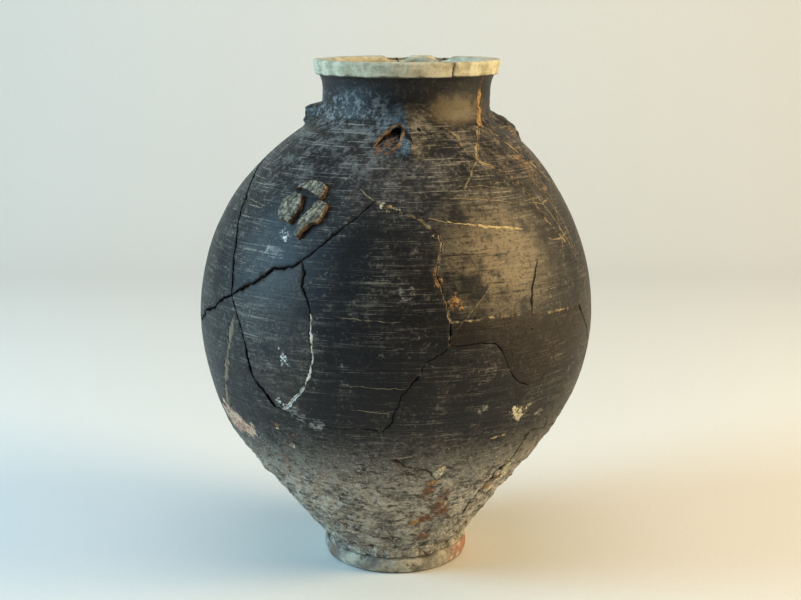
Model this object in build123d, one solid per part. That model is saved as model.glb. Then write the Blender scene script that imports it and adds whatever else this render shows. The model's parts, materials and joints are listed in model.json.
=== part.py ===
from build123d import *
import os
from math import acos, atan2, cos, hypot, radians, sin, sqrt

os.makedirs("parts", exist_ok=True)

# Mended storage jar. Millimetres, Z up, origin at the bottom centre of the foot ring, front facing -Y.

# Body
BELLY_RADIUS = 150.0
BELLY_HEIGHT = 197.0
SHOULDER_ARC = 172.0
LOWER_ARC = 164.0
WALL = 8.0
FLOOR_RISE = 8.0

# Foot
FOOT_RADIUS = 56.5
FOOT_HEIGHT = 14.0
FOOT_WIDTH = 17.0
FOOT_ROUND = 3.0
FOOT_TAPER = 1.2
FOOT_RECESS = 5.0
COLLAR_HEIGHT = 6.0

# Neck and rim, on an axis that has slumped to the right of the body's
NECK_SHIFT = 8.0
NECK_RADIUS = 63.0
NECK_WALL = 8.0
NECK_HEIGHT = 31.5
NECK_ROOT_DROP = 22.0
NECK_ROOT_FLARE = 7.0
NECK_FLARE_HEIGHT = 8.0
NECK_FLARE = 4.5
NECK_BREAKS = (57, 205)
NECK_FILL_WIDTH = 2.6
RIM_HEIGHT = 11.0
RIM_OVERHANG = 7.0
RIM_ROUND = 2.5
RIM_BREAKS = (28, 153, 187)
CHIP_RADIUS = 18.0
CHIP_DEPTH = 4.5

# Lugs at the root of the neck
LUG_SPAN = 46.0
LUG_CREST = 8.0
LUG_RISE = 10.0
LUG_REACH = 22.0
LUG_TOE = 13.0
LUG_DROP = 32.0
KNOB_REACH = 14.0
WORN_RISE = 3.0
WORN_REACH = 14.0
CORD_HOLE_RADIUS = 4.0
CORD_HOLE_OUT = 16.0
CORD_HOLE_DROP = 2.0

# Clay stumps of a torn-off boss on the shoulder
STUMP_HEIGHT = 4.0

# How far a cutting form reaches past what it cuts
OVERRUN = 30.0

collar_radius = FOOT_RADIUS - FOOT_TAPER
foot_bore = FOOT_RADIUS - FOOT_WIDTH
neck_bore = NECK_RADIUS - NECK_WALL
belly_centre = Vector(0, 0, BELLY_HEIGHT)


def shoulder_height(radius):
    """Height of the shoulder's outer surface at a distance from the body's axis."""
    return BELLY_HEIGHT + sqrt(SHOULDER_ARC**2 - (radius - BELLY_RADIUS + SHOULDER_ARC) ** 2)


rim_bottom = shoulder_height(NECK_RADIUS) + NECK_HEIGHT
rim_top = rim_bottom + RIM_HEIGHT


def direction(azimuth, elevation):
    """Unit vector seen from the belly's centre; azimuth 0 is the front and grows to the right."""
    a = radians(azimuth)
    e = radians(elevation)
    return Vector(sin(a) * cos(e), -cos(a) * cos(e), sin(e))


def body_form(offset):
    """Solid inside the body's outer surface moved outward by offset, from the foot ring to the crown."""
    lower_radius = LOWER_ARC + offset
    lower_centre = BELLY_RADIUS - LOWER_ARC
    upper_radius = SHOULDER_ARC + offset
    upper_centre = BELLY_RADIUS - SHOULDER_ARC
    start_height = FOOT_HEIGHT + COLLAR_HEIGHT
    # The lower wall is the tangent from the collar's top to the lower arc
    run = collar_radius - lower_centre
    rise = start_height - BELLY_HEIGHT
    turn = atan2(rise, run) + acos(LOWER_ARC / hypot(run, rise))
    lower_mid = (lower_centre + lower_radius * cos(turn / 2), BELLY_HEIGHT + lower_radius * sin(turn / 2))
    touch = (lower_centre + lower_radius * cos(turn), BELLY_HEIGHT + lower_radius * sin(turn))
    start = (touch[0] + (touch[1] - start_height) * sin(turn) / cos(turn), start_height)
    widest = (BELLY_RADIUS + offset, BELLY_HEIGHT)
    crown_turn = acos(-upper_centre / upper_radius)
    upper_mid = (
        upper_centre + upper_radius * cos(crown_turn / 2),
        BELLY_HEIGHT + upper_radius * sin(crown_turn / 2),
    )
    crown = (0, BELLY_HEIGHT + upper_radius * sin(crown_turn))
    with BuildPart() as form:
        with BuildSketch(Plane.XZ):
            with BuildLine():
                Polyline(crown, (0, FOOT_HEIGHT), (start[0], FOOT_HEIGHT), start, touch)
                ThreePointArc(touch, lower_mid, widest)
                ThreePointArc(widest, upper_mid, crown)
            make_face()
        revolve(axis=Axis.Z)
    return form.part


def neck_form():
    """Solid inside the neck's outer surface, from below the shoulder up to the rim."""
    root = shoulder_height(NECK_RADIUS) + NECK_ROOT_DROP / 2
    foot = root - NECK_ROOT_DROP
    flare = rim_bottom - NECK_FLARE_HEIGHT
    with BuildPart() as form:
        with BuildSketch(Plane.XZ):
            with BuildLine():
                TangentArc((NECK_RADIUS, root), (NECK_RADIUS + NECK_ROOT_FLARE, foot), tangent=(0, -1))
                Line((NECK_RADIUS, root), (NECK_RADIUS, flare))
                TangentArc((NECK_RADIUS, flare), (NECK_RADIUS + NECK_FLARE, rim_bottom), tangent=(0, 1))
                Polyline(
                    (NECK_RADIUS + NECK_FLARE, rim_bottom),
                    (0, rim_bottom),
                    (0, foot),
                    (NECK_RADIUS + NECK_ROOT_FLARE, foot),
                )
            make_face()
        revolve(axis=Axis.Z)
    return Pos(NECK_SHIFT, 0, 0) * form.part


def post(radius, bottom, top):
    """Upright cylinder on the origin's axis."""
    return Pos(0, 0, bottom) * Cylinder(radius, top - bottom, align=(Align.CENTER, Align.CENTER, Align.MIN))


def fracture(*seams):
    """Pyramid of flat break faces from the belly's centre through a closed chain of seams."""
    knots = [knot for seam in seams for knot in seam[:-1]]
    rays = [direction(*knot) for knot in knots]
    mean = sum(rays, Vector()).normalized()
    reach = BELLY_RADIUS + LOWER_ARC
    rim = [belly_centre + ray * (reach / ray.dot(mean)) for ray in rays]
    sides = [
        Face(Wire.make_polygon([belly_centre, a, b])) for a, b in zip(rim, rim[1:] + rim[:1])
    ]
    return Solid(Shell([Face(Wire.make_polygon(rim))] + sides))


def back(seam):
    """The same seam followed the other way."""
    return seam[::-1]


def sector(start, end):
    """Upright wedge about the neck's axis between two azimuths, tall enough for neck and rim."""
    steps = 6
    reach = 2 * NECK_RADIUS
    turns = [radians(start + (end - start) * i / steps) for i in range(steps + 1)]
    fan = [(0, 0)] + [(reach * sin(a), -reach * cos(a)) for a in turns]
    return Pos(NECK_SHIFT, 0, 0) * extrude(make_face(Polyline(*fan, close=True)), rim_top + OVERRUN)


def fill_plate(azimuth, width):
    """Upright plate on one side of the neck's axis."""
    plate = Box(width, 2 * NECK_RADIUS, rim_top, align=(Align.CENTER, Align.MAX, Align.MIN))
    return Pos(NECK_SHIFT, 0, 0) * Rot(0, 0, azimuth) * plate


def lug(azimuth, rise, reach):
    """Pinched clay lug in the corner of neck and shoulder: a crest profile cut to a wedge in plan."""
    side = Vector(NECK_SHIFT, 0, 0) + direction(azimuth, 0) * NECK_RADIUS
    corner = shoulder_height(hypot(side.X, side.Y))
    depth = NECK_RADIUS / 2
    crest = Polyline(
        (-depth, rise),
        (reach / 3, rise),
        (reach, rise / 3),
        (reach + LUG_TOE, -LUG_DROP),
        (-depth, -LUG_DROP),
        close=True,
    )
    # Each flank runs straight from the crest to where the span's end meets the neck, and on inside it
    flank_run = NECK_RADIUS - sqrt(NECK_RADIUS**2 - (LUG_SPAN / 2) ** 2) + reach
    spread = (LUG_SPAN - LUG_CREST) / 2 / flank_run
    inner_half = LUG_CREST / 2 + (reach + depth) * spread
    plan = Polyline(
        (-depth, -inner_half),
        (reach, -LUG_CREST / 2),
        (reach + LUG_TOE, -LUG_CREST / 2),
        (reach + LUG_TOE, LUG_CREST / 2),
        (reach, LUG_CREST / 2),
        (-depth, inner_half),
        close=True,
    )
    fin = extrude(make_face(Plane.XZ * crest), inner_half, both=True)
    wedge = extrude(make_face(plan), 2 * LUG_DROP, both=True)
    return Pos(side.X, side.Y, corner) * Rot(0, 0, azimuth - 90) * (fin & wedge)


def save(name, shape):
    """Write one named piece."""
    export_step(shape, f"parts/{name}.step")


# Where break lines meet, as azimuth and elevation seen from the belly's centre
TOP = (0, 90)
BOTTOM = (0, -90)
LEFT = (-52, 12)
LEFT_TOP = (-92, 54)
LEFT_SIDE = (-96, -3)
SHIELD_TOP = (-27, 24)
SHIELD_FOOT = (-33, -17)
WHITE_TOP = (-23, 12)
WHITE_FOOT = (-24, -9)
BROWN_TOP = (-49, 8)
BROWN_FOOT = (-61, -24)
UNDER_LUG = (-8, 41)
NOTCH = (6, 36)
ROOT = (33, 52)
NECK_CRACK = (55, 66)
BAND_LEFT = (14, 9)
BAND_RIGHT = (62, 8)
MIDDLE = (14, 3)
RIGHT_SIDE = (74, -8)
LOW = (-3, -21)
CROSS = (0, -31)
WAIST_RIGHT = (47, -27)
WAIST_FAR = (76, -32)
WAIST_LEFT = (-98, -26)
BACK_RIGHT = (120, -10)
BACK = (180, 6)
BACK_LOW = (206, -1)
BACK_LEFT = (244, 4)
WAIST_BACK = (208, -27)
LOW_BACK = (135, -30)

# Break lines on the shoulder
left_break = [LEFT, (-53, 16), (-56, 24), (-62, 33), (-71, 43), (-79, 47), LEFT_TOP]
left_neck = [LEFT_TOP, (-77, 66), TOP]
left_hidden = [LEFT_TOP, (-114, 30), (-108, 16), BACK_LEFT]
shield_crest = [LEFT, (-46, 15), (-36, 21), SHIELD_TOP]
front_rise = [SHIELD_TOP, (-22, 29), (-14, 35), UNDER_LUG]
lug_foot = [UNDER_LUG, (-1, 38), NOTCH]
root_rise = [NOTCH, (13, 40), (25, 46), ROOT]
front_fall = [NOTCH, (13, 32), (12, 26), (11, 22), (13, 15), BAND_LEFT]
wedge_left = [TOP, (21, 66), (29, 59), ROOT]
wedge_right = [NECK_CRACK, (44, 62), (37, 57), ROOT]
crack_top = [TOP, NECK_CRACK]
right_break = [ROOT, (40, 50), (47, 46), (53, 37), (58, 29), (66, 20), BAND_RIGHT]
far_right_break = [NECK_CRACK, (58, 59), (65, 50), (73, 44), (100, 30), BACK_RIGHT]
back_break = [BACK, (174, 20), (184, 36), (177, 52), (180, 66), TOP]

# Break lines on the belly
left_rim = [LEFT, (-61, 7), (-74, 1), LEFT_SIDE]
black_top = [LEFT, BROWN_TOP]
black_crack = [BROWN_TOP, (-46, 3), (-44, -3), (-42, -9), (-36, -16), SHIELD_FOOT]
brown_left = [BROWN_TOP, (-52.5, -1), (-55, -8), (-58.5, -16), BROWN_FOOT]
brown_right = [BROWN_TOP, (-51.5, -1), (-54, -8), (-57.5, -16), BROWN_FOOT]
white_lead = [SHIELD_TOP, (-26, 17), WHITE_TOP]
white_left = [WHITE_TOP, (-22.8, 7), (-22.3, 1), (-23.2, -5), WHITE_FOOT]
white_right = [WHITE_TOP, (-22.2, 7), (-21.7, 1), (-22.6, -5), WHITE_FOOT]
white_tail = [WHITE_FOOT, (-31, -16), SHIELD_FOOT]
band_end = [BAND_LEFT, MIDDLE]
band_top = [BAND_LEFT, (38, 9), BAND_RIGHT]
band_right = [BAND_RIGHT, (67, 2), RIGHT_SIDE]
band_foot = [MIDDLE, (22, 3), (28, 2), (30, -5), (38, -12), (46, -9), RIGHT_SIDE]
front_foot = [MIDDLE, (8, -1), (5, -6), (1, -13), LOW]
low_crack = [LOW, CROSS]
back_right = [RIGHT_SIDE, (96, -4), BACK_RIGHT]
back_middle = [BACK_RIGHT, (146, 0), BACK]
back_step = [BACK, BACK_LOW]
back_left = [BACK_LOW, (225, -3), BACK_LEFT]
back_end = [BACK_LEFT, LEFT_SIDE]

# Break lines of the lower wall
shield_waist = [SHIELD_FOOT, (-24, -20), (-10, -20), LOW]
left_waist = [SHIELD_FOOT, (-42, -23), (-51, -29), BROWN_FOOT]
left_far_waist = [BROWN_FOOT, (-68, -23), WAIST_LEFT]
left_drop = [LEFT_SIDE, (-91, -14), WAIST_LEFT]
right_waist = [CROSS, (20, -28), (31, -26), (39, -26), WAIST_RIGHT]
right_far_waist = [WAIST_RIGHT, (60, -29), WAIST_FAR]
right_drop = [RIGHT_SIDE, (79, -20), WAIST_FAR]
far_waist = [WAIST_FAR, (104, -28), LOW_BACK]
back_waist = [LOW_BACK, (170, -25), WAIST_BACK]
back_far_waist = [WAIST_BACK, (236, -29), WAIST_LEFT]
back_drop = [BACK_LOW, (199, -14), WAIST_BACK]
front_toe = [CROSS, (1, -35), (14, -37), (20, -49), (28, -57), (18, -63), (12, -73), BOTTOM]
right_toe = [WAIST_RIGHT, (46, -39), (41, -48), (41, -56), (43, -73), BOTTOM]
back_toe = [LOW_BACK, (129, -45), (133, -60), (128, -73), BOTTOM]
left_toe = [WAIST_LEFT, (-105, -42), (-97, -58), (-102, -73), BOTTOM]

outer = body_form(0)
inner = body_form(-WALL)
neck_solid = neck_form()
mouth = Pos(NECK_SHIFT, 0, 0) * post(neck_bore, BELLY_HEIGHT, rim_top + OVERRUN)
shell = outer - inner - mouth

# Body sherds, each the wall inside its own chain of break lines
sherds = {
    "shoulder_front": [
        left_break, left_neck, wedge_left, back(root_rise), back(lug_foot), back(front_rise),
        back(shield_crest),
    ],
    "shoulder_left": [left_break, left_hidden, back_end, back(left_rim)],
    "shoulder_wedge": [wedge_left, back(wedge_right), back(crack_top)],
    "shoulder_right": [root_rise, right_break, back(band_top), back(front_fall)],
    "shoulder_far_right": [wedge_right, right_break, band_right, back_right, back(far_right_break)],
    "shoulder_back_right": [crack_top, far_right_break, back_middle, back_break],
    "shoulder_back_left": [back(back_break), back_step, back_left, back(left_hidden), left_neck],
    "belly_shield": [
        shield_crest, white_lead, white_left, white_tail, back(black_crack), back(black_top),
    ],
    "belly_left": [black_crack, left_waist, back(brown_right)],
    "belly_far_left": [black_top, brown_left, left_far_waist, back(left_drop), back(left_rim)],
    "belly_front": [
        front_rise, lug_foot, front_fall, band_end, front_foot, back(shield_waist), back(white_tail),
        back(white_right), back(white_lead),
    ],
    "belly_band": [band_top, band_right, back(band_foot), back(band_end)],
    "belly_right": [
        band_foot, right_drop, back(right_far_waist), back(right_waist), back(low_crack), back(front_foot),
    ],
    "belly_back_right": [
        back_right, back_middle, back_step, back_drop, back(back_waist), back(far_waist), back(right_drop),
    ],
    "belly_back_left": [back_left, back_end, left_drop, back(back_far_waist), back(back_drop)],
    "lower_left": [
        left_waist, left_far_waist, left_toe, back(front_toe), back(low_crack), back(shield_waist),
    ],
    "lower_front": [right_waist, right_toe, back(front_toe)],
    "lower_right": [right_far_waist, far_waist, back_toe, back(right_toe)],
    "lower_back": [back_waist, back_far_waist, left_toe, back(back_toe)],
    "fill_brown": [brown_left, back(brown_right)],
    "fill_white": [white_left, back(white_right)],
}
for name, seams in sherds.items():
    save(name, shell & fracture(*seams))

# Stumps of the boss torn off the shoulder
stump_layer = body_form(STUMP_HEIGHT) - outer
stumps = {
    "stump_top": [
        (-38, 42.7), (-37, 45), (-33, 45.6), (-29, 45.4), (-26, 44.3), (-25.5, 41.4), (-26.6, 40.7),
        (-30, 42), (-33, 42.9),
    ],
    "stump_left": [(-37.6, 41.9), (-33.6, 41.2), (-32.4, 37.2), (-34.5, 33.3), (-39.2, 34.3), (-40.9, 38)],
    "stump_right": [
        (-26.9, 40.2), (-23.9, 39.6), (-23.5, 36), (-25, 34), (-28.6, 32), (-30.1, 29.5), (-31.2, 30.2),
        (-30, 36.2), (-28.1, 37.5),
    ],
}
for name, outline in stumps.items():
    save(name, stump_layer & fracture(outline + outline[:1]))

# Foot ring and the floor slab that closes it
foot_profile = make_face(
    Polyline(
        (foot_bore, 0),
        (FOOT_RADIUS, 0),
        (FOOT_RADIUS, FOOT_HEIGHT / 2),
        (collar_radius, FOOT_HEIGHT),
        (foot_bore, FOOT_HEIGHT),
        close=True,
    )
)
foot_profile = fillet(foot_profile.vertices().group_by(Axis.Y)[0], FOOT_ROUND)
save("foot_ring", revolve(Plane.XZ * foot_profile, Axis.Z))
plug = post(foot_bore, FOOT_RECESS, FOOT_HEIGHT)
seat = inner & post(BELLY_RADIUS, FOOT_HEIGHT, FOOT_HEIGHT + FLOOR_RISE)
save("floor_slab", plug + seat)

# Neck sherds with the filled break between them
neck = neck_solid - outer - mouth
gap = fill_plate(NECK_BREAKS[0], NECK_FILL_WIDTH)
save("neck_back", (neck & sector(*NECK_BREAKS)) - gap)
save("neck_front", (neck & sector(NECK_BREAKS[1], NECK_BREAKS[0] + 360)) - gap)
save("fill_neck", neck & gap)

# Rim sherds, chipped where the two far breaks reach the lip
rim_profile = Polyline(
    (neck_bore, rim_bottom),
    (NECK_RADIUS + RIM_OVERHANG, rim_bottom),
    (NECK_RADIUS + RIM_OVERHANG, rim_top),
    (neck_bore, rim_top),
    close=True,
)
rim_face = make_face(rim_profile)
rim_corners = rim_face.vertices().group_by(Axis.Y)[-1] + rim_face.vertices().group_by(Axis.X)[-1][:1]
rim_face = fillet(rim_corners, RIM_ROUND)
rim = Pos(NECK_SHIFT, 0, 0) * revolve(Plane.XZ * rim_face, Axis.Z)
for azimuth in RIM_BREAKS[1:]:
    scoop = Rot(0, 0, azimuth) * Rot(90, 0, 0) * Cylinder(
        CHIP_RADIUS, 2 * NECK_RADIUS, align=(Align.CENTER, Align.CENTER, Align.MIN)
    )
    rim -= Pos(NECK_SHIFT, 0, rim_top + CHIP_RADIUS - CHIP_DEPTH) * scoop
save("rim_right", rim & sector(RIM_BREAKS[0], RIM_BREAKS[1]))
save("rim_back", rim & sector(RIM_BREAKS[1], RIM_BREAKS[2]))
save("rim_left", rim & sector(RIM_BREAKS[2], RIM_BREAKS[0] + 360))

# Lugs; the front one is pierced for a cord and the right one is worn down
front_corner = shoulder_height(hypot(NECK_SHIFT, NECK_RADIUS))
cord_rod = Rot(0, 90, 0) * Cylinder(CORD_HOLE_RADIUS, 2 * LUG_SPAN)
cord_hole = Pos(NECK_SHIFT, -NECK_RADIUS - CORD_HOLE_OUT, front_corner - CORD_HOLE_DROP) * cord_rod
lugs = {
    "lug_front": lug(0, LUG_RISE, LUG_REACH) - cord_hole,
    "lug_right": lug(90, WORN_RISE, WORN_REACH),
    "lug_back": lug(180, LUG_RISE, KNOB_REACH),
    "lug_left": lug(270, LUG_RISE, KNOB_REACH),
}
for name, raw in lugs.items():
    save(name, raw - outer - neck_solid)
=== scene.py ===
import json

import bmesh
import bpy
import numpy as np
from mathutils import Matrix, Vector


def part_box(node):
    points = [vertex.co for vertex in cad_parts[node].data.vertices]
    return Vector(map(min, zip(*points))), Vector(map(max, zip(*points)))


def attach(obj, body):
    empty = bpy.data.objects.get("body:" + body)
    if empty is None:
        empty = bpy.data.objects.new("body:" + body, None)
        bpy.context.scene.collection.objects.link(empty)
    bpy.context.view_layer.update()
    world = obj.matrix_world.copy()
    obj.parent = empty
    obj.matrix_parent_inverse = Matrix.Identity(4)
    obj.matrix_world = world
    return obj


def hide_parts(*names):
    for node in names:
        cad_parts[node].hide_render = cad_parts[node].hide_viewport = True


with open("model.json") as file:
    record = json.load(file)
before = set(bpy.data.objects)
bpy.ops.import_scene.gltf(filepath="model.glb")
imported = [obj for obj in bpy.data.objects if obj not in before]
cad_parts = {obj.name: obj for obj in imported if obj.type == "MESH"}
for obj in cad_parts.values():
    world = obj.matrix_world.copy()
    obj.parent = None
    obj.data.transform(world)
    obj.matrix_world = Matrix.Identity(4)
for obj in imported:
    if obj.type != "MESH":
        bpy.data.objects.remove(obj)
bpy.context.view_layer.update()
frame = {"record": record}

# A mended storage jar. Shapes are worked out in millimetres in the frame of the CAD model, front facing -Y.
# Places on the wall are an azimuth (0 at the front, growing to the right) and an elevation about the belly's
# centre, both in degrees.
MM = 0.001

# Sizes that the frame gives
foot_top = np.array(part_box("foot_ring")[1]) / MM
rim_low, rim_high = (np.array(corner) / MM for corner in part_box("rim_right"))
mounts = {mount["name"]: mount for mount in frame["record"]["mounts"]}
FOOT_RADIUS = foot_top[0]
FOOT_HEIGHT = foot_top[2]
RIM_BOTTOM = rim_low[2]
RIM_TOP = rim_high[2]
NECK_BORE = mounts["mouth"]["dims"]["r_mm"]
CORD_HOLE = np.array(mounts["cord_hole"]["pos_m"]) / MM
CORD_HOLE_RADIUS = mounts["cord_hole"]["dims"]["r_mm"]

# Body
BELLY_RADIUS = 150.0
BELLY_HEIGHT = 197.0
SHOULDER_ARC = 172.0
LOWER_ARC = 164.0
WALL = 8.0
COLLAR_RADIUS = 55.3
COLLAR_TOP = 20.0
FOOT_BORE = 39.5
FLOOR_BOTTOM = 5.0
FLOOR_TOP = 22.0
CRUST_HEIGHTS = (142, 80)
CORNER_ROUND = 3.0
CORNER_SINK = 0.6

# Neck and rim
NECK_RADIUS = 63.0
NECK_BREAKS = (57.0, 205.0)
NECK_FILL = 2.6
NECK_DRIFT = -5.0
NECK_DRIFT_HEIGHTS = (354, 341)
FILL_LAP = 2.0
RIM_RADIUS = 70.0
RIM_BREAKS = (28.0, 153.0, 187.0)
DIP_RADIUS = 18.0
DIP_DEPTH = 4.5

# How the jar's axis wanders to the side as it rises
LEAN_HEIGHTS = (0, 15, 50, 110, 150, 290, 315, 345, 360, 390)
LEAN_SHIFTS = (0, -1.2, -2.8, -2.8, -0.5, 0.8, 3.5, 6.5, 7.8, 8.5)

# Neck outline as heights and radii, and the rim's outer and inner outlines above its bottom
NECK_HEIGHTS = (338, 340, 342.5, 345, 348, 351, 354.5, 359, 368, 372, 375, 378.5)
NECK_RADII = (76, 73.6, 70.6, 67.8, 65.4, 64, 63.2, 62.9, 62.9, 63.4, 64.2, 65.8)
RIM_OUTER = ((62.5, -0.3), (67.9, -0.2), (68.5, 0.5), (69, 3), (69.6, 6), (70.2, 9), (70, 10.3), (69, 11), (62.5, 11))
RIM_INNER = ((62.3, 11), (58.5, 10.8), (56, 9.8), (55, 7.5), (55, 4), (55, -0.3), (62.3, -0.3))

# Lugs as azimuth, side shift at the top and bottom, (height, how far the crest stands out) up the crest, half span,
# share of it at the top, pinch, crown
LUGS = {
    "lug_front": (0, (-2.5, 9), ((319, -1), (323, 1.5), (327, 6), (331, 10.5), (336, 15), (341, 18.5), (346, 20),
                                 (350, 19), (354, 15), (357, 9), (360, 3), (364, -1)), 36, 0.22, 1.3, 5),
    "lug_right": (90, (0, 0), ((325, -1), (332, 3.5), (339, 7.5), (344, 8), (347.5, 5), (351, 0), (354, -1)),
                  24, 0.8, 1.4, 9),
    "lug_back": (180, (0, 0), ((330, -1), (336, 5), (343, 11), (349, 13), (354, 11), (358, 4), (361, -1)),
                 25, 0.5, 1.4, 8),
    "lug_left": (270, (0, 0), ((336, -1), (339, -0.3), (341, 1.2), (343, 4.8), (345, 7.4), (349, 10.8), (353, 12),
                               (355, 10), (356.3, 5), (357.5, -1)), 20, 0.9, 1.3, 9),
}
LUG_SINK = 1.0
LUG_DEPTH = 5.0
LUG_CROWDING = 1.25
LUG_TAPER = 0.6
LUG_ROWS = 84
LUG_COLUMNS = 91

# The cord hole's cutting path as offsets from its middle, with a radius
SCOOP_STEPS = (0, 0.2, 0.4, 0.58, 0.72, 0.82, 1)
SCOOP_PATH = ((-23, -9, -18.5, 4.2), (-17, -6, -13.5, 5.8), (-10, -2.5, -8.5, 7.4),
              (-3, 2, -4.7, CORD_HOLE_RADIUS + 2.2), (3, 3, -2.5, CORD_HOLE_RADIUS * 0.8), (7, 0.5, -1.5, 1.4),
              (14, -6, 0, 1.2))
SCOOP_ROWS = 60
SCOOP_SIDES = 40

# Stumps of a torn-off boss: outlines and middles as azimuth and elevation, and layers as a share of the way from
# the middle to the outline with a height above the wall
STUMPS = {
    "stump_left": [(-37.6, 41.9), (-33.6, 41.2), (-32.4, 37.2), (-34.5, 33.3), (-39.2, 34.3), (-40.5, 35.9),
                   (-40.9, 39.3)],
    "stump_top": [(-38, 42.7), (-37.1, 44.8), (-33.2, 45.5), (-29, 45.4), (-26, 44.3), (-25.5, 41.4),
                  (-26.6, 40.7), (-29.8, 41.9), (-33.1, 42.8), (-36.8, 43.2)],
    "stump_right": [(-26.9, 40.3), (-23.9, 39.6), (-23.3, 38.9), (-23.7, 35.7), (-24.9, 34.2), (-26.5, 33.9),
                    (-28.8, 32), (-30.1, 29.5), (-31.2, 30.2), (-30.7, 33.5), (-30, 36.2), (-28.1, 37.5),
                    (-27.9, 39.5)],
}
STUMP_MIDDLES = {"stump_left": (-36.8, 37.8), "stump_top": (-32.5, 44), "stump_right": (-27.5, 36)}
STUMP_LAYERS = ((0, -1.5), (0.5, -1.5), (1.04, -1.5), (1.05, 0.2), (1.02, 1.4), (0.99, 2.6), (0.965, 3.4),
                (0.93, 3.9), (0.88, 4), *((tenth / 10, 4) for tenth in range(8, -1, -1)))
STUMP_POINTS = 150

# Section of a crack's filler: share of half the gap to the right of the walk, and depth in mm; and the least half
# gap that is filled
FILL_SECTION = ((1.06, -1.2), (1, -0.25), (0.8, 0.1), (0.4, 0.22), (-0.4, 0.22), (-0.8, 0.1), (-1, -0.25),
                (-1.06, -1.2), (-1.06, -6.5), (-0.8, -7), (-0.5, -7), (-0.2, -7), (0.2, -7), (0.5, -7), (0.8, -7),
                (1.06, -6.5))
FILL_LEAST = 0.12

# Camera in metres, and degrees below level
CAMERA_PLACE = (0.0035, -1.0155, 0.4302)
CAMERA_PITCH = 12.55
CAMERA_LENS = 60.2
CAMERA_SENSOR = 36

# Lamps as place, size, power and colour, all turned towards one aim, and the even light round the scene
LAMP_AIM = (0, 0, 0.2)
LAMPS = {
    "cool_lamp": ((-1.8, -0.35, 0.9), 0.9, 46, (0.44, 0.76, 1.0)),
    "warm_lamp": ((1.8, -0.35, 0.9), 0.9, 46, (1.0, 0.78, 0.44)),
    "top_lamp": ((0, -0.3, 2.2), 1.5, 13, (1.0, 0.98, 0.95)),
}
WORLD_LIGHT = 0.17

# Floor and backdrop in metres
SWEEP_FRONT = -2.5
SWEEP_BACK = 1.1
SWEEP_ARC = 0.7
SWEEP_TOP = 3.0
SWEEP_SIDE = 3.5

# Mesh spacing, the distance below which points are joined, and the angle above which an edge is sharp
BAND_STEP = 1.2
BAND_POINTS = 40
RIM_POINTS = 30
FLOOR_AROUND = 150
FLOOR_POINTS = 110
WELD = 0.02
SHARP_ANGLE = 42
GRID_STEP = 1.35
EDGE_STEPS = np.array([0, 0.35, 0.8, 1.4, 2.2, 3.2])
EDGE_WEIGHTS = ((1, 0.6), (0.6, 1)) * 2
BREAK_STEP = 0.6
BREAK_TAPER = 6.0
LEVEL_STEP = 4
LATTICE = 32
UNFOLD_ROUNDS = 60
UNFOLD_AREA = 0.004


def clay_noise(points, size, seed):
    """Smooth random field from -1 to 1: random values on a cubic lattice size mm apart, blended between the
    eight nearest corners with smoothstep weights."""
    lattice = np.random.default_rng(seed).uniform(-1, 1, (LATTICE,) * 3)
    cell = np.asarray(points, float) / size
    low = np.floor(cell).astype(int)
    part = cell - low
    part = part * part * (3 - 2 * part)
    total = np.zeros(cell.shape[:-1])
    for corner in np.ndindex(2, 2, 2):
        weight = np.prod(np.where(corner, part, 1 - part), axis=-1)
        x, y, z = np.moveaxis((low + corner) % LATTICE, -1, 0)
        total += weight * lattice[x, y, z]
    return total


def ease(value, low, high):
    """Smoothstep of value from 0 at low to 1 at high."""
    t = np.clip((value - low) / (high - low), 0, 1)
    return t * t * (3 - 2 * t)


def smoothed(values, reach):
    """Running mean over reach values on either side, with the end values carried on."""
    width = 2 * reach + 1
    return np.convolve(np.pad(values, reach, "edge"), np.ones(width) / width, "valid")


def walked(steps):
    """Distance walked before the first of a line's steps and after each of them."""
    return np.concatenate([[0], np.cumsum(np.linalg.norm(steps, axis=1))])


def lean_table():
    """Side shift of the axis at every height: straight runs between the measured shifts, averaged over 20 mm."""
    heights = np.arange(-20.0, 421.0)
    shifts = np.interp(heights, LEAN_HEIGHTS, LEAN_SHIFTS)
    return heights, smoothed(shifts, 10)


LEAN_TABLE = lean_table()


def lean(height):
    """Side shift of the axis at a height."""
    return np.interp(height, *LEAN_TABLE)


def wall_profile():
    """Outer wall from the collar to the crown: an upright collar, a cone tangent to the lower arc, the lower
    arc and the shoulder arc. Gives elevation, radius, height and the outward normal of points along it."""
    lower_centre = BELLY_RADIUS - LOWER_ARC
    upper_centre = BELLY_RADIUS - SHOULDER_ARC
    run = COLLAR_RADIUS - lower_centre
    rise = COLLAR_TOP - BELLY_HEIGHT
    touch = np.arctan2(rise, run) + np.arccos(LOWER_ARC / np.hypot(run, rise))
    collar = np.linspace(FOOT_HEIGHT, COLLAR_TOP, 12)[:-1]
    cone = np.linspace(0, 1, 120)[:-1]
    lower = np.linspace(touch, 0, 160)
    upper = np.linspace(0, np.arccos(-upper_centre / SHOULDER_ARC), 240)[1:]
    touch_radius = lower_centre + LOWER_ARC * np.cos(touch)
    touch_height = BELLY_HEIGHT + LOWER_ARC * np.sin(touch)
    radius, height = np.concatenate([
        (np.full(collar.shape, COLLAR_RADIUS), collar),
        (COLLAR_RADIUS + cone * (touch_radius - COLLAR_RADIUS), COLLAR_TOP + cone * (touch_height - COLLAR_TOP)),
        (lower_centre + LOWER_ARC * np.cos(lower), BELLY_HEIGHT + LOWER_ARC * np.sin(lower)),
        (upper_centre + SHOULDER_ARC * np.cos(upper), BELLY_HEIGHT + SHOULDER_ARC * np.sin(upper)),
    ], axis=1)
    out = np.stack([np.gradient(height), -np.gradient(radius)])
    out /= np.linalg.norm(out, axis=0)
    elevation = np.degrees(np.arctan2(height - BELLY_HEIGHT, radius))
    return elevation, radius, height, out[0], out[1]


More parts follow.
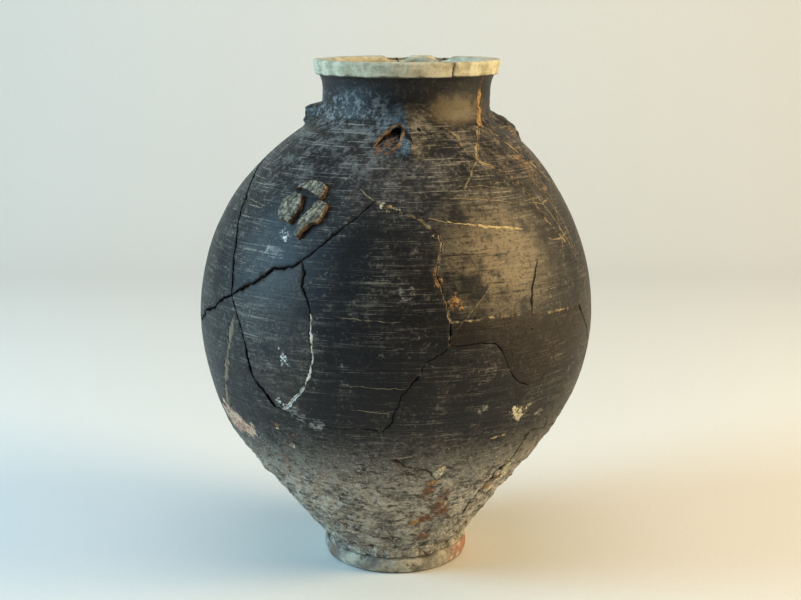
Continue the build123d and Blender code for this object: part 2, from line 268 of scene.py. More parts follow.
WALL_EL, WALL_RADIUS, WALL_HEIGHT, WALL_OUT_R, WALL_OUT_Z = wall_profile()
shoulder = slice(-200, None)
MOUTH_EL = np.interp(-NECK_BORE, -WALL_RADIUS[shoulder], WALL_EL[shoulder])
FOOT_EL = WALL_EL[0]


def wall_point(azimuth, elevation, out=0.0):
    """Point of the wall at an azimuth and elevation: the profile turned about the leaning axis, moved out along
    its normal."""
    radius = np.interp(elevation, WALL_EL, WALL_RADIUS) + out * np.interp(elevation, WALL_EL, WALL_OUT_R)
    height = np.interp(elevation, WALL_EL, WALL_HEIGHT) + out * np.interp(elevation, WALL_EL, WALL_OUT_Z)
    turn = np.radians(azimuth)
    return np.stack([radius * np.sin(turn) + lean(height), -radius * np.cos(turn), height], axis=-1)


def shoulder_radius(height):
    """Radius of the shoulder's outer surface at a height."""
    rise = np.clip(height - BELLY_HEIGHT, 0, SHOULDER_ARC)
    return BELLY_RADIUS - SHOULDER_ARC + np.sqrt(SHOULDER_ARC**2 - rise**2)


# Where break lines meet
LEFT = (-52, 12)
LEFT_TOP = (-92, 54)
LEFT_SIDE = (-96, -3)
SHIELD_TOP = (-27.5, 24)
SHIELD_FOOT = (-33, -17)
WHITE_TOP = (-23, 11.6)
WHITE_FOOT = (-24.5, -9)
BROWN_TOP = (-49, 8)
BLACK_KNEE = (-46, 3.4)
BROWN_FOOT = (-61, -24)
UNDER_LUG = (-7.6, 41)
NOTCH = (6, 36.5)
ROOT = (33, 52.5)
WEDGE_KNEE = (37, 57)
NECK_CRACK = (55, 66)
BAND_LEFT = (14.4, 9)
BAND_RIGHT = (62, 7.5)
BAND_KNEE = (46, -8)
MIDDLE = (14, 3)
RIGHT_SIDE = (74, -8)
LOW = (-3.4, -21)
CROSS = (0, -31)
WAIST_RIGHT = (47, -27)
WAIST_FAR = (76, -32)
WAIST_LEFT = (-98, -26)
BACK_RIGHT = (120, -10)
BACK = (180, 6)
BACK_LOW = (206, -1)
BACK_LEFT = (244, 4)
WAIST_BACK = (208, -27)
LOW_BACK = (135, -30)
MOUTH_ENDS = {"left": -77, "wedge": 21, "crack": 55, "back": 180}
FOOT_ENDS = {"left": -102, "front": 12, "right": 43, "back": 128}
mouth = {name: (azimuth, MOUTH_EL) for name, azimuth in MOUTH_ENDS.items()}
toe = {name: (azimuth, FOOT_EL) for name, azimuth in FOOT_ENDS.items()}


def level_arc(start, end, elevation):
    """Knots every few degrees along one level of the wall."""
    turns = np.linspace(start, end, 2 + int(abs(end - start) / LEVEL_STEP))
    return [(turn, elevation) for turn in turns]


# Break lines as (knots, gap in mm, sideways jag in mm, paleness of the edges, how far the edges are chipped)
BREAKS = {
    "left_break": ([LEFT, (-53, 16), (-54.5, 20), (-56, 24.5), (-59, 29), (-62, 33.5), (-65, 38), (-71, 43),
                    (-79, 46), LEFT_TOP], 0.9, 0.7, 0.0, 0.9),
    "left_neck": ([LEFT_TOP, (-77, 66), mouth["left"]], 0.2, 0.4, 0.1, 0.3),
    "left_hidden": ([LEFT_TOP, (-114, 30), (-108, 16), (-116, 4)], 0.6, 0.8, 0.1, 0.8),
    "shield_crest": ([LEFT, (-46, 15), (-40, 18.5), (-36, 21), (-30, 22.4), SHIELD_TOP], 1.0, 1.0, 0.05, 1.5),
    "front_rise": ([SHIELD_TOP, (-25, 26), (-22, 28.6), (-18.5, 31.4), (-14.4, 35), (-11, 37.6), UNDER_LUG],
                   0.4, 0.7, 0.25, 0.7),
    "lug_foot": ([UNDER_LUG, (-0.6, 38.5), NOTCH], 0.2, 0.8, 0.66, 0.4),
    "root_rise": ([NOTCH, (10, 38), (13, 40), (15, 42), (25, 45.6), (28.6, 49), ROOT], 0.04, 0.8, 0.35, 0.12),
    "front_fall": ([NOTCH, (9.7, 34), (13, 31.6), (13.5, 29.5), (12.5, 27), (11.3, 23), (11.5, 21), (12.3, 18),
                    (13, 15), (14, 11.5), BAND_LEFT], 0.45, 0.9, 0.75, 0.7),
    "wedge_left": ([mouth["wedge"], (21, 67), (28, 61), (30, 55), ROOT], 0.1, 0.8, 0.7, 0.3),
    "crack_top": ([mouth["crack"], NECK_CRACK], 0.2, 0.1, 0.6, 0.3),
    "wedge_right": ([NECK_CRACK, (44, 62), WEDGE_KNEE], 0.3, 0.8, 0.9, 0.5),
    "wedge_foot": ([WEDGE_KNEE, ROOT], 0.3, 0.3, 0.9, 0.5),
    "right_break": ([ROOT, (40, 49.5), (47, 46), (51, 42), (53, 37), (55, 33), (58, 29), (62, 25), (66, 20),
                     BAND_RIGHT], 0.1, 0.9, 0.75, 0.4),
    "far_right_break": ([NECK_CRACK, (57, 60), (61, 55), (65.5, 50), (72, 45), (100, 30), BACK_RIGHT],
                        0.1, 0.8, 0.8, 0.3),
    "back_break": ([BACK, (174, 20), (184, 36), (177, 52), (180, 66), mouth["back"]], 0.6, 0.8, 0.2, 0.8),
    "left_rim": ([LEFT, (-56.5, 10), (-61, 7), (-67, 5), (-74, 1), LEFT_SIDE], 1.0, 0.9, 0.0, 1.2),
    "black_top": ([LEFT, BROWN_TOP], 1.2, 0.3, 0.0, 0.8),
    "black_head": ([BROWN_TOP, BLACK_KNEE], 1.2, 0.4, 0.0, 0.8),
    "black_crack": ([BLACK_KNEE, (-44, -1), (-43.6, -5), (-42, -9), (-39, -12), (-35.5, -16.6), SHIELD_FOOT],
                    1.5, 0.7, 0.0, 0.8),
    "brown_crack": ([BROWN_TOP, (-50, 5), (-52, -1.5), (-54, -7.6), (-58, -15.6), (-60, -21), BROWN_FOOT],
                    4.4, 0.5, 0.0, 0.3),
    "white_lead": ([SHIELD_TOP, (-26, 21), (-26, 17), (-24, 14), WHITE_TOP], 0.6, 0.6, 0.0, 0.7),
    "white_crack": ([WHITE_TOP, (-22.5, 7.4), (-22, 2), (-22, -1.4), (-23, -6), WHITE_FOOT], 1.5, 0.7, 0.2, 0.4),
    "white_tail": ([WHITE_FOOT, (-27, -12), (-31, -16), SHIELD_FOOT], 0.3, 0.6, 0.95, 0.4),
    "band_end": ([BAND_LEFT, MIDDLE], 0.6, 0.4, 0.45, 0.6),
    "band_top": ([BAND_LEFT, (27, 9.5), (38, 9), (49, 8), BAND_RIGHT], 0.03, 0.5, 0.58, 0.04),
    "band_right": ([BAND_RIGHT, (66, 3), (71, -2), RIGHT_SIDE], 0.4, 0.6, 0.1, 0.5),
    "band_foot": ([MIDDLE, (17, 2.8), (22, 3), (27, 2.5), (29, 0.5), (30.8, -3.5), (32.8, -7), (35.8, -9.6),
                   (39, -10.8), (43, -10.5), BAND_KNEE], 0.3, 0.25, 0.45, 0.55),
    "band_tail": ([BAND_KNEE, (58, -7), RIGHT_SIDE], 0.02, 0.3, 0.0, 0.02),
    "front_foot": ([MIDDLE, (12, 1), (8.4, -1), (5, -6), (2, -10), (1, -13), (-0.5, -16), (-1, -19), LOW],
                   0.35, 0.8, 0.35, 0.8),
    "low_crack": ([LOW, (-0.5, -28), CROSS], 0.06, 0.6, 0.1, 0.06),
    "back_right": ([RIGHT_SIDE, (96, -4), BACK_RIGHT], 0.6, 0.8, 0.1, 0.8),
    "back_middle": ([BACK_RIGHT, (146, 0), BACK], 0.7, 0.8, 0.2, 0.8),
    "back_step": ([BACK, BACK_LOW], 0.5, 0.6, 0.2, 0.8),
    "back_left": ([BACK_LOW, (225, -3), BACK_LEFT], 0.7, 0.8, 0.1, 0.8),
    "back_end": ([BACK_LEFT, (264, -3)], 0.5, 0.6, 0.1, 0.8),
    "shield_waist": ([SHIELD_FOOT, (-24, -20), (-17, -21), (-10, -20), LOW], 0.12, 0.7, 0.3, 0.25),
    "left_waist": ([SHIELD_FOOT, (-42, -23), (-51, -29), BROWN_FOOT], 0.02, 0.6, 0.0, 0.02),
    "left_far_waist": ([BROWN_FOOT, (-68, -23), WAIST_LEFT], 0.2, 0.7, 0.2, 0.3),
    "left_drop": ([LEFT_SIDE, (-91, -14), WAIST_LEFT], 0.5, 0.6, 0.1, 0.8),
    "right_waist": ([CROSS, (20, -28), (31, -26), (39, -25.6), WAIST_RIGHT], 0.03, 0.7, 0.5, 0.08),
    "right_far_waist": ([WAIST_RIGHT, (60, -29), WAIST_FAR], 0.1, 0.7, 0.2, 0.3),
    "right_drop": ([RIGHT_SIDE, (79, -20), WAIST_FAR], 0.5, 0.6, 0.2, 0.8),
    "far_waist": ([WAIST_FAR, (104, -28), LOW_BACK], 0.5, 0.7, 0.2, 0.8),
    "back_waist": ([LOW_BACK, (170, -25), WAIST_BACK], 0.6, 0.8, 0.2, 0.8),
    "back_far_waist": ([WAIST_BACK, (236, -29), (262, -26)], 0.5, 0.8, 0.2, 0.8),
    "back_drop": ([BACK_LOW, (199, -14), WAIST_BACK], 0.6, 0.7, 0.1, 0.8),
    "front_toe": ([CROSS, (5, -33.5), (11, -36), (15, -39), (20, -49), (26.5, -57), (22, -62), (15, -66.5),
                   toe["front"]], 0.3, 1.3, 0.4, 0.8),
    "right_toe": ([WAIST_RIGHT, (46, -39), (43, -43), (41, -49), (41, -55), toe["right"]], 0.6, 1.2, 0.55, 1.2),
    "back_toe": ([LOW_BACK, (129, -45), (133, -60), toe["back"]], 0.4, 0.8, 0.4, 0.3),
    "left_toe": ([WAIST_LEFT, (-105, -42), (-97, -58), toe["left"]], 0.4, 0.8, 0.4, 0.3),
}
# Level breaks under the neck and above the foot, each from one end to the next
for level, names, ends, elevation, look in (
        ("mouth", ("front", "wedge", "right", "left"), MOUTH_ENDS, MOUTH_EL, (0.0, 0.2, 0.0, 0.3)),
        ("toe", FOOT_ENDS, FOOT_ENDS, FOOT_EL, (0.0, 0.0, 0.2, 0.03))):
    starts = list(ends.values())
    for name, start, end in zip(names, starts, starts[1:] + [starts[0] + 360]):
        BREAKS[f"{level}_{name}"] = (level_arc(start, end, elevation), *look)
# Lines that run out into sound clay, with the share of the walk where they begin to fade, and how long they take
FADES = {"band_foot": 0.72, "right_break": 0.62, "band_right": 0.7, "front_toe": 0.2, "right_toe": 0.62}
NO_FADE = 2
FADE_LENGTH = 0.12
BREAK_WAVES = ((31.0, 0.5), (13.0, 0.38), (6.1, 0.3), (3.3, 0.24))
CHIP_WAVES = ((47.0, 0.5), (19.0, 0.5), (7.3, 0.35))
# Chips in mm along a sound edge and a broken one, and how far from a band's broken end it is worn, and how deep
SOUND_CHIP = 0.03
BROKEN_CHIP = 0.4
WORN_REACH = 1.6
WORN_DEPTH = 0.7

# Marks on the wall by tone, as azimuth, elevation, and radius and height in mm
MARKS = {
    "flake": ((-64, -22.4, 4, -0.5), (-61.5, -24.2, 5.5, -0.5), (-58.5, -25.4, 6.5, -0.5), (-55.5, -26.9, 7, -0.5),
              (-52.8, -28, 6.5, -0.5), (-50.2, -28.2, 4.6, -0.5), (-48.4, -25.6, 2.6, -0.4), (-67, -25.4, 5, -0.5),
              (-64, -27.4, 6, -0.5), (-60, -28.8, 6, -0.5)),
    "ochre": ((11.3, 21.6, 3.4, 0.8), (11.7, 19.6, 2.6, 0.6), (15.6, 14.2, 4.4, 0.7), (17.2, 12.6, 2.6, 0.5),
              (-2.6, 38.8, 2, 0.3), (14.6, -42, 4.6, 1.3), (11.7, -60.9, 4.5, 1.2), (43.5, -49, 4.2, 1.1)),
    "cream": ((35.4, -17.4, 2.8, 0.4), (37, -18.7, 4.4, 0.5), (39, -18.9, 3.4, 0.4), (37.8, -20.6, 3, 0.4),
              (40.8, -17.6, 1.9, 0.3), (-5.2, 39.8, 2.4, 0.3), (-1, 38.5, 2.2, 0.2), (11.6, 31.2, 1.8, 0.2),
              (16, -36, 4.6, 1.6), (15.2, -38.4, 4, 1.6), (12.2, -46.2, 2.6, 1.4), (18.6, -52.2, 2.4, 1.4),
              (23.6, -55, 2.6, 1.3), (15, -57.6, 2.4, 1.2), (46.1, -39.4, 4.6, 1.8), (45.6, -42, 4.2, 1.6),
              (49.5, -46, 5.5, 0.8), (47, -51, 5, 0.7), (-36.6, -24, 1.6, 0.2), (-31.9, -28.9, 1.7, 0.2),
              (-37.2, -35.6, 1.6, 0.2)),
    "dusty": ((24.2, -15.8, 3.6, 0.1), (46.8, -20.8, 4.2, 0.1), (3, 16.6, 5, 0.1), (-40, 25.6, 3.6, 0),
              (-37.5, 25.4, 4.2, 0), (-35.4, 25.3, 3.6, 0), (-29, -16.8, 4.4, 0.1), (-26.6, -18.2, 4, 0.1),
              (-22, -20.5, 5, 0.1), (-5, -42, 4, 0.3), (-2, -38, 3.2, 0.3)),
    "white": ((-36.2, 31, 3.2, 0.1), (-34.9, 30, 2.8, 0.1), (-31, 30.6, 2.8, 0.1), (-32.4, 0.2, 2.2, 0),
              (-31.4, -0.9, 2.2, 0), (-30.3, -2.5, 2.6, 0), (-29.2, -3.9, 2.2, 0), (-33.4, -14.9, 3.2, 0.1),
              (-31.5, -15.8, 3, 0.1)),
    "rust": ((14, -45.4, 5, 1.6), (13.1, -48.3, 4.4, 1.5), (21.2, -53.8, 6.5, 1.6), (25.5, -57.5, 6.5, 1.5),
             (17.5, -59.4, 5.5, 1.4), (17.8, -67.6, 5.5, 1.2), (22, -48.5, 5, 1.5), (16.2, -50.4, 3, -1.8),
             (23.4, -51.2, 2.6, -1.8), (19.4, -56.8, 2.8, -1.8), (14.4, -62.6, 2.8, -1.6), (20, -60.6, 2.8, 1.2),
             (9.4, -57.8, 2.6, 1), (44.6, -45.4, 4.2, 1.3), (-36.6, -22.4, 2.7, 0.3), (-31.3, -25, 2.5, 0.3),
             (-32.1, -27.6, 2.9, 0.3), (-37.5, -34.2, 2.8, 0.3), (-40.4, -40.9, 2.2, 0.3), (-11.7, 55.6, 2.6, -0.3),
             (-10.5, 57, 3, -0.4), (-9, 58.1, 3.4, -0.4), (-7.4, 59.2, 3.6, -0.4), (-5.7, 59.9, 3.6, -0.4)),
    "stain": ((59, 51, 6, 0.1), (61.2, 47.8, 7, 0.1), (61, 44, 5.5, 0.1), (65, 41, 4.5, 0.1)),
}

# Fine lines on the wall: tone, whether the knots run up (elevation, azimuth) or round (azimuth, elevation), the knots,
# and half the width in degrees
STROKES = (
    ("hairline", "up", ((6, 14.4), (8, 17), (13, 22), (18, 27), (23, 31), (27, 37)), 0.22),
    ("crack", "up", ((8.2, 39.3), (12.4, 39.4), (15.5, 40.3), (20, 42.7), (23, 44.6)), 0.5),
    ("crack", "up", ((-10.2, 43.6), (-7.8, 45.6)), 0.3),
    ("crack", "up", ((55.5, 3.6), (59, 0.4), (62.4, -2.8)), 1.3),
    ("hairline", "up", ((43.6, 23.6), (45.6, 25.2), (47.4, 27.6), (49, 28.4), (52.3, 32.8)), 0.7),
    ("rust", "up", ((-42.3, 34), (-37.9, 28.1), (-33.9, 24.9), (-30.2, 23.9)), 0.35),
    ("hairline", "round", ((-14.6, 44.6), (-11, 42.6), (-7.6, 41)), 0.25),
    ("scratch", "round", ((9.5, 36), (18, 34.6), (28, 33.3), (36, 32.4), (43, 31.2)), 0.25),
    ("scratch", "round", ((22, 34), (30, 32.9), (36, 32.2), (42, 31.2)), 0.5),
    ("rust", "round", ((-1, -34.8), (5, -35.2), (11, -36), (15.5, -37.2)), 0.3),
    ("hairline", "up", ((18, 67), (24, 64.5), (30, 61.5), (38, 57), (44, 54)), 0.26),
    ("hairline", "up", ((20, 57), (28, 61), (35, 65), (46, 66)), 0.22),
    ("hairline", "up", ((22, 67), (31, 66.5), (42, 60)), 0.22),
    ("hairline", "round", ((52, 27.5), (58, 26.4), (66, 27.6)), 0.26),
    ("hairline", "round", ((49, 38.2), (57, 37), (66, 38.4)), 0.2),
    ("hairline", "round", ((14, 41.6), (26, 41), (38, 39.5), (46, 38)), 0.16),
    ("hairline", "round", ((20, 44.6), (32, 44.4), (45, 42.4)), 0.14),
    ("hairline", "round", ((-64, 38), (-60.3, 38), (-54.6, 37.7), (-48.7, 36.8)), 0.16),
    ("hairline", "round", ((-59.6, 36.5), (-50, 36.4)), 0.13),
    ("hairline", "round", ((-17, 10.6), (-8, 9.8), (2, 9.4)), 0.14),
    ("hairline", "round", ((-14, -7.5), (-6, -8), (4, -8.4)), 0.14),
    ("hairline", "round", ((-12, -14.5), (-5, -15), (0, -15.4)), 0.14),
    ("hairline", "up", ((-46, 3), (-41, 5.5), (-36.5, 4), (-33, 1)), 0.2),
)

# Sherds as their top, right, bottom and left edges, walked clockwise; a minus sign walks a line backwards
SHERDS = {
    "shoulder_front": (["mouth_front"], ["wedge_left"],
                       ["-root_rise", "-lug_foot", "-front_rise", "-shield_crest"], ["left_break", "left_neck"]),
    "shoulder_left": (["-left_break"], ["left_rim"], ["-back_end"], ["-left_hidden"]),
    "shoulder_wedge": (["mouth_wedge"], ["crack_top", "wedge_right"], ["wedge_foot"], ["-wedge_left"]),
    "shoulder_right": (["root_rise"], ["right_break"], ["-band_top"], ["-front_fall"]),
    "shoulder_far_right": (["-wedge_foot", "-wedge_right"], ["far_right_break"], ["-back_right"],
                           ["-band_right", "-right_break"]),
    "shoulder_back_right": (["mouth_right"], ["-back_break"], ["-back_middle"], ["-far_right_break", "-crack_top"]),
    "shoulder_back_left": (["mouth_left"], ["-left_neck", "left_hidden"], ["-back_left", "-back_step"],
                           ["back_break"]),
    "belly_shield": (["shield_crest"], ["white_lead", "white_crack"], ["white_tail"],
                     ["-black_crack", "-black_head", "-black_top"]),
    "belly_left": (["black_head"], ["black_crack"], ["left_waist"], ["-brown_crack"]),
    "belly_far_left": (["-left_rim"], ["black_top", "brown_crack"], ["left_far_waist"], ["-left_drop"]),
    "belly_front": (["front_rise", "lug_foot"], ["front_fall", "band_end", "front_foot"], ["-shield_waist"],
                    ["-white_tail", "-white_crack", "-white_lead"]),
    "belly_band": (["band_top"], ["band_right"], ["-band_tail", "-band_foot"], ["-band_end"]),
    "belly_right": (["band_foot", "band_tail"], ["right_drop"], ["-right_far_waist", "-right_waist"],
                    ["-low_crack", "-front_foot"]),
    "belly_back_right": (["back_right", "back_middle", "back_step"], ["back_drop"], ["-back_waist", "-far_waist"],
                         ["-right_drop"]),
    "belly_back_left": (["back_left", "back_end"], ["left_drop"], ["-back_far_waist"], ["-back_drop"]),
    "lower_left": (["-left_far_waist", "-left_waist", "shield_waist"], ["low_crack", "front_toe"], ["-toe_left"],
                   ["-left_toe"]),
    "lower_front": (["right_waist"], ["right_toe"], ["-toe_front"], ["-front_toe"]),
    "lower_right": (["right_far_waist", "far_waist"], ["back_toe"], ["-toe_right"], ["-right_toe"]),
    "lower_back": (["back_waist", "back_far_waist"], ["left_toe"], ["-toe_back"], ["-back_toe"]),
}


def waves(walk, table, rng):
    """Sum of sines of the table's lengths and weights along a walk, each with a random phase."""
    return sum(weight * np.sin(2 * np.pi * walk / length + rng.uniform(0, 2 * np.pi)) for length, weight in table)


def break_line(name):
    """One break line walked in even steps: straight runs between its knots, moved sideways by waves that die out
    at its ends. Columns: azimuth, elevation, the step to the right of the walk that opens half the gap (in azimuth
    and elevation), paleness, chip size in mm."""
    knots, gap, jag, pale, chipped = BREAKS[name]
    rng = np.random.default_rng(list(BREAKS).index(name) + 100)
    knots = np.array(knots, float)
    along = walked(np.diff(wall_point(*knots.T), axis=0))
    walk = np.linspace(0, along[-1], max(8, int(along[-1] / BREAK_STEP)))
    azimuth, elevation = (np.interp(walk, along, column) for column in knots.T)
    radius = np.interp(elevation, WALL_EL, WALL_RADIUS)
    reach = np.hypot(radius, np.interp(elevation, WALL_EL, WALL_HEIGHT) - BELLY_HEIGHT)
    east = np.gradient(azimuth) * radius
    north = np.gradient(elevation) * reach
    right = np.degrees(np.stack([north / radius, -east / reach]) / np.hypot(east, north))
    ends = np.clip(np.minimum(walk, along[-1] - walk) / BREAK_TAPER, 0, 1)
    wobble = jag * ends * waves(walk, BREAK_WAVES, rng)
    fade = FADES.get(name, NO_FADE)
    sound = ease(walk / along[-1], fade + FADE_LENGTH, fade)
    half_gap = gap / 2 * ends * (0.05 + 0.95 * sound) * np.clip(1 + 0.7 * waves(walk, BREAK_WAVES, rng), 0.2, 2)
    chips = chipped * (0.02 + 0.98 * sound) * (0.6 + 2.6 * np.clip(waves(walk, CHIP_WAVES, rng) - 0.25, 0, 1))
    return np.stack([
        azimuth + wobble * right[0],
        elevation + wobble * right[1],
        half_gap * right[0],
        half_gap * right[1],
        pale * sound,
        chips,
    ], axis=1)


LINES = {name: break_line(name) for name in BREAKS}


def sherd_edge(parts, azimuth, weights):
    """Break lines end to end, stepped back by half the gap, with whole turns added so that the azimuth runs on
    from the one given. Gives the length, and the columns share of the length (with its runs to the side and its
    runs up weighted apart), azimuth, elevation, paleness and chip size."""
    rows = []
    for part in parts:
        line = LINES[part.lstrip("-")]
        if part.startswith("-"):
            line = line[::-1] * [1, 1, -1, -1, 1, 1]
        turns = 360 * round((azimuth - line[0, 0]) / 360)
        rows.append(line + [turns, 0, 0, 0, 0, 0])
        azimuth = rows[-1][-1, 0]
    rows = np.concatenate(rows)
    rows[:, :2] += rows[:, 2:4]
    radius = np.interp(rows[1:, 1], WALL_EL, WALL_RADIUS)
    steps = np.radians(np.diff(rows[:, :2], axis=0)) * np.column_stack([radius, np.full(radius.shape, BELLY_RADIUS)])
    along = walked(steps * weights)
    return walked(steps)[-1], np.column_stack([along / along[-1], rows[:, :2], rows[:, 4:]])


def on_edge(edge, shares):
    """Azimuth, elevation, paleness and chip size at shares of an edge's length."""
    return np.stack([np.interp(shares, edge[:, 0], column) for column in edge.T[1:]], axis=1)


def edge_spaced(length):
    """Shares from 0 to 1 across a length: close together at both ends and about a grid step apart between."""
    inset = EDGE_STEPS[-1] + GRID_STEP
    if length < 2 * inset + GRID_STEP:
        return np.linspace(0, 1, 12)
    middle = np.linspace(inset, length - inset, max(2, round((length - 2 * inset) / GRID_STEP)))
    return np.concatenate([EDGE_STEPS, middle, length - EDGE_STEPS[::-1]]) / length


def border(grid):
    """The grid's outer ring, clockwise from its first corner."""
    return np.concatenate([grid[0, :-1], grid[:-1, -1], grid[-1, :0:-1], grid[:0:-1, 0]])


def nearest_on(points, ring):
    """Distance from each point to its nearest point of a ring, and that point's number."""
    flat = points.reshape(-1, 3)
    centre = ring.mean(axis=0)
    a = flat - centre
    b = ring - centre
    squares = (a**2).sum(axis=1)[:, None] + (b**2).sum(axis=1)[None] - 2 * a @ b.T
    index = squares.argmin(axis=1)
    distance = np.sqrt(np.maximum(np.take_along_axis(squares, index[:, None], 1)[:, 0], 0))
    return distance.reshape(points.shape[:-1]), index.reshape(points.shape[:-1])


def mark_relief(points):
    """How far dents and crumbs stand out: for each mark, its height times a bump that fades at its ragged edge."""
    total = np.zeros(points.shape[:-1])
    ragged = 0.5 * clay_noise(points, 3.6, 30)
    for azimuth, elevation, radius, height in sum(MARKS.values(), ()):
        away = np.linalg.norm(points - wall_point(azimuth, elevation), axis=-1) + ragged * radius
        total += height * ease(away, radius, 0.4 * radius)
    return total * (0.75 + 0.5 * clay_noise(points, 3.2, 8))


def hand_relief(points):
    """How far the hand-built wall stands out from its ideal profile: slow swells, paddle marks, dents and crumbs,
    and a coarse, pitted crust that comes in towards the foot."""
    crust = ease(points[..., 2] + 22 * clay_noise(points, 40, 9), *CRUST_HEIGHTS)
    swell = 0.9 * clay_noise(points, 95, 1) + 0.32 * clay_noise(points * [1, 1, 1.6], 34, 2)
    fine = 0.07 * clay_noise(points * [1, 1, 2.2], 9, 3)
    lumps = clay_noise(points, 12, 4) + 0.95 * clay_noise(points, 5.2, 5) + 0.6 * clay_noise(points, 2.9, 10)
    pits = -1.5 * ease(clay_noise(points, 4.2, 6), 0.35, 0.85)
    return swell + fine + crust * (lumps + pits) + mark_relief(points)


def grid_faces(rows, columns):
    """Quads of a grid whose rows run down and columns run right, facing the viewer."""
    corner = np.arange(rows * columns).reshape(rows, columns)
    return np.stack([corner[:-1, :-1], corner[1:, :-1], corner[1:, 1:], corner[:-1, 1:]], axis=-1).reshape(-1, 4)


def slab_faces(rows, columns):
    """Quads of a closed slab: an outer grid, an inner grid behind it, and the strip that joins their borders."""
    count = rows * columns
    outer = grid_faces(rows, columns)
    ring = border(np.arange(count).reshape(rows, columns))
    ahead = np.roll(ring, -1)
    strip = np.stack([ring, ahead, ahead + count, ring + count], axis=-1)
    return np.concatenate([outer, outer[:, ::-1] + count, strip])


def band_faces(around, loop, closed):
    """Quads of a loop of points carried round: outer half going up, inner half coming down. An open band has
    both ends capped with quads between the two halves."""
    corner = np.arange(around * loop).reshape(around, loop)
    here = corner if closed else corner[:-1]
    ahead = np.roll(corner, -1, axis=0) if closed else corner[1:]
    skin = np.stack([here, ahead, np.roll(ahead, -1, axis=1), np.roll(here, -1, axis=1)], axis=-1).reshape(-1, 4)
    if closed:
        return skin
    half = loop // 2
    up = np.arange(half - 1)
    cap = np.stack([up, up + 1, loop - 2 - up, loop - 1 - up], axis=-1)
    return np.concatenate([skin, cap, cap[:, ::-1] + corner[-1, 0]])


def add_object(name, data):
    """A new object in the scene, at the origin."""
    thing = bpy.data.objects.new(name, data)
    bpy.context.scene.collection.objects.link(thing)
    return thing


def new_mesh(name, points, faces):
    """A mesh of points in millimetres and faces with equal numbers of corners."""
    mesh = bpy.data.meshes.new(name)
    mesh.vertices.add(points.size // 3)
    mesh.vertices.foreach_set("co", (points * MM).astype(np.float32).ravel())
    mesh.loops.add(faces.size)
    mesh.loops.foreach_set("vertex_index", faces.astype(np.int32).ravel())
    mesh.polygons.add(len(faces))
    mesh.polygons.foreach_set("loop_start", np.arange(0, faces.size, faces.shape[1], dtype=np.int32))
    mesh.update(calc_edges=True)
    return mesh


def weld(mesh):
    """Joins doubled points and turns the faces outward."""
    shell = bmesh.new()
    shell.from_mesh(mesh)
    bmesh.ops.remove_doubles(shell, verts=shell.verts, dist=WELD * MM)
    bmesh.ops.dissolve_degenerate(shell, edges=shell.edges, dist=WELD * MM / 20)
    bmesh.ops.recalc_face_normals(shell, faces=shell.faces)
    shell.to_mesh(mesh)
    shell.free()


def shade_smooth(mesh):
    """Smooth shading, with sharp edges at breaks."""
    mesh.polygons.foreach_set("use_smooth", np.ones(len(mesh.polygons), bool))
    mesh.set_sharp_from_angle(angle=np.radians(SHARP_ANGLE))


def add_mask(mesh, label, values):
    """Keeps a value for each of a mesh's points."""
    layer = mesh.attributes.new(label, "FLOAT", "POINT")
    layer.data.foreach_set("value", np.asarray(values, np.float32).ravel())


def add_piece(name, points, faces, finish, masks=None, merge=False):
    """A piece that replaces the CAD node of the same name, from points in millimetres, faces and point masks."""
    mesh = new_mesh(name, points, faces)
    for label, values in (masks or {}).items():
        add_mask(mesh, label, values)
    if merge:
        weld(mesh)
    mesh.validate()
    shade_smooth(mesh)
    mesh.materials.append(finish)
    piece = add_object(name + "_look", mesh)
    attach(piece, "root")
    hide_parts(name)
    return piece


def unfolded(chart):
    """A grid of azimuth and elevation without folds: while the cross of a cell's diagonals has the wrong sign, its
    points inside the border move to the mean of their four neighbours."""
    chart = chart.copy()
    for _ in range(UNFOLD_ROUNDS):
        east, north = np.moveaxis(chart[1:, 1:] - chart[:-1, :-1], -1, 0)
        back_east, back_north = np.moveaxis(chart[1:, :-1] - chart[:-1, 1:], -1, 0)
        folded = np.pad(east * back_north - north * back_east > -UNFOLD_AREA, 1)
        moved = (folded[1:, 1:] | folded[:-1, 1:] | folded[1:, :-1] | folded[:-1, :-1])[1:-1, 1:-1]
        if not moved.any():
            break
        mean = (chart[:-2, 1:-1] + chart[2:, 1:-1] + chart[1:-1, :-2] + chart[1:-1, 2:]) / 4
        chart[1:-1, 1:-1] = np.where(moved[..., None], mean, chart[1:-1, 1:-1])
    return chart


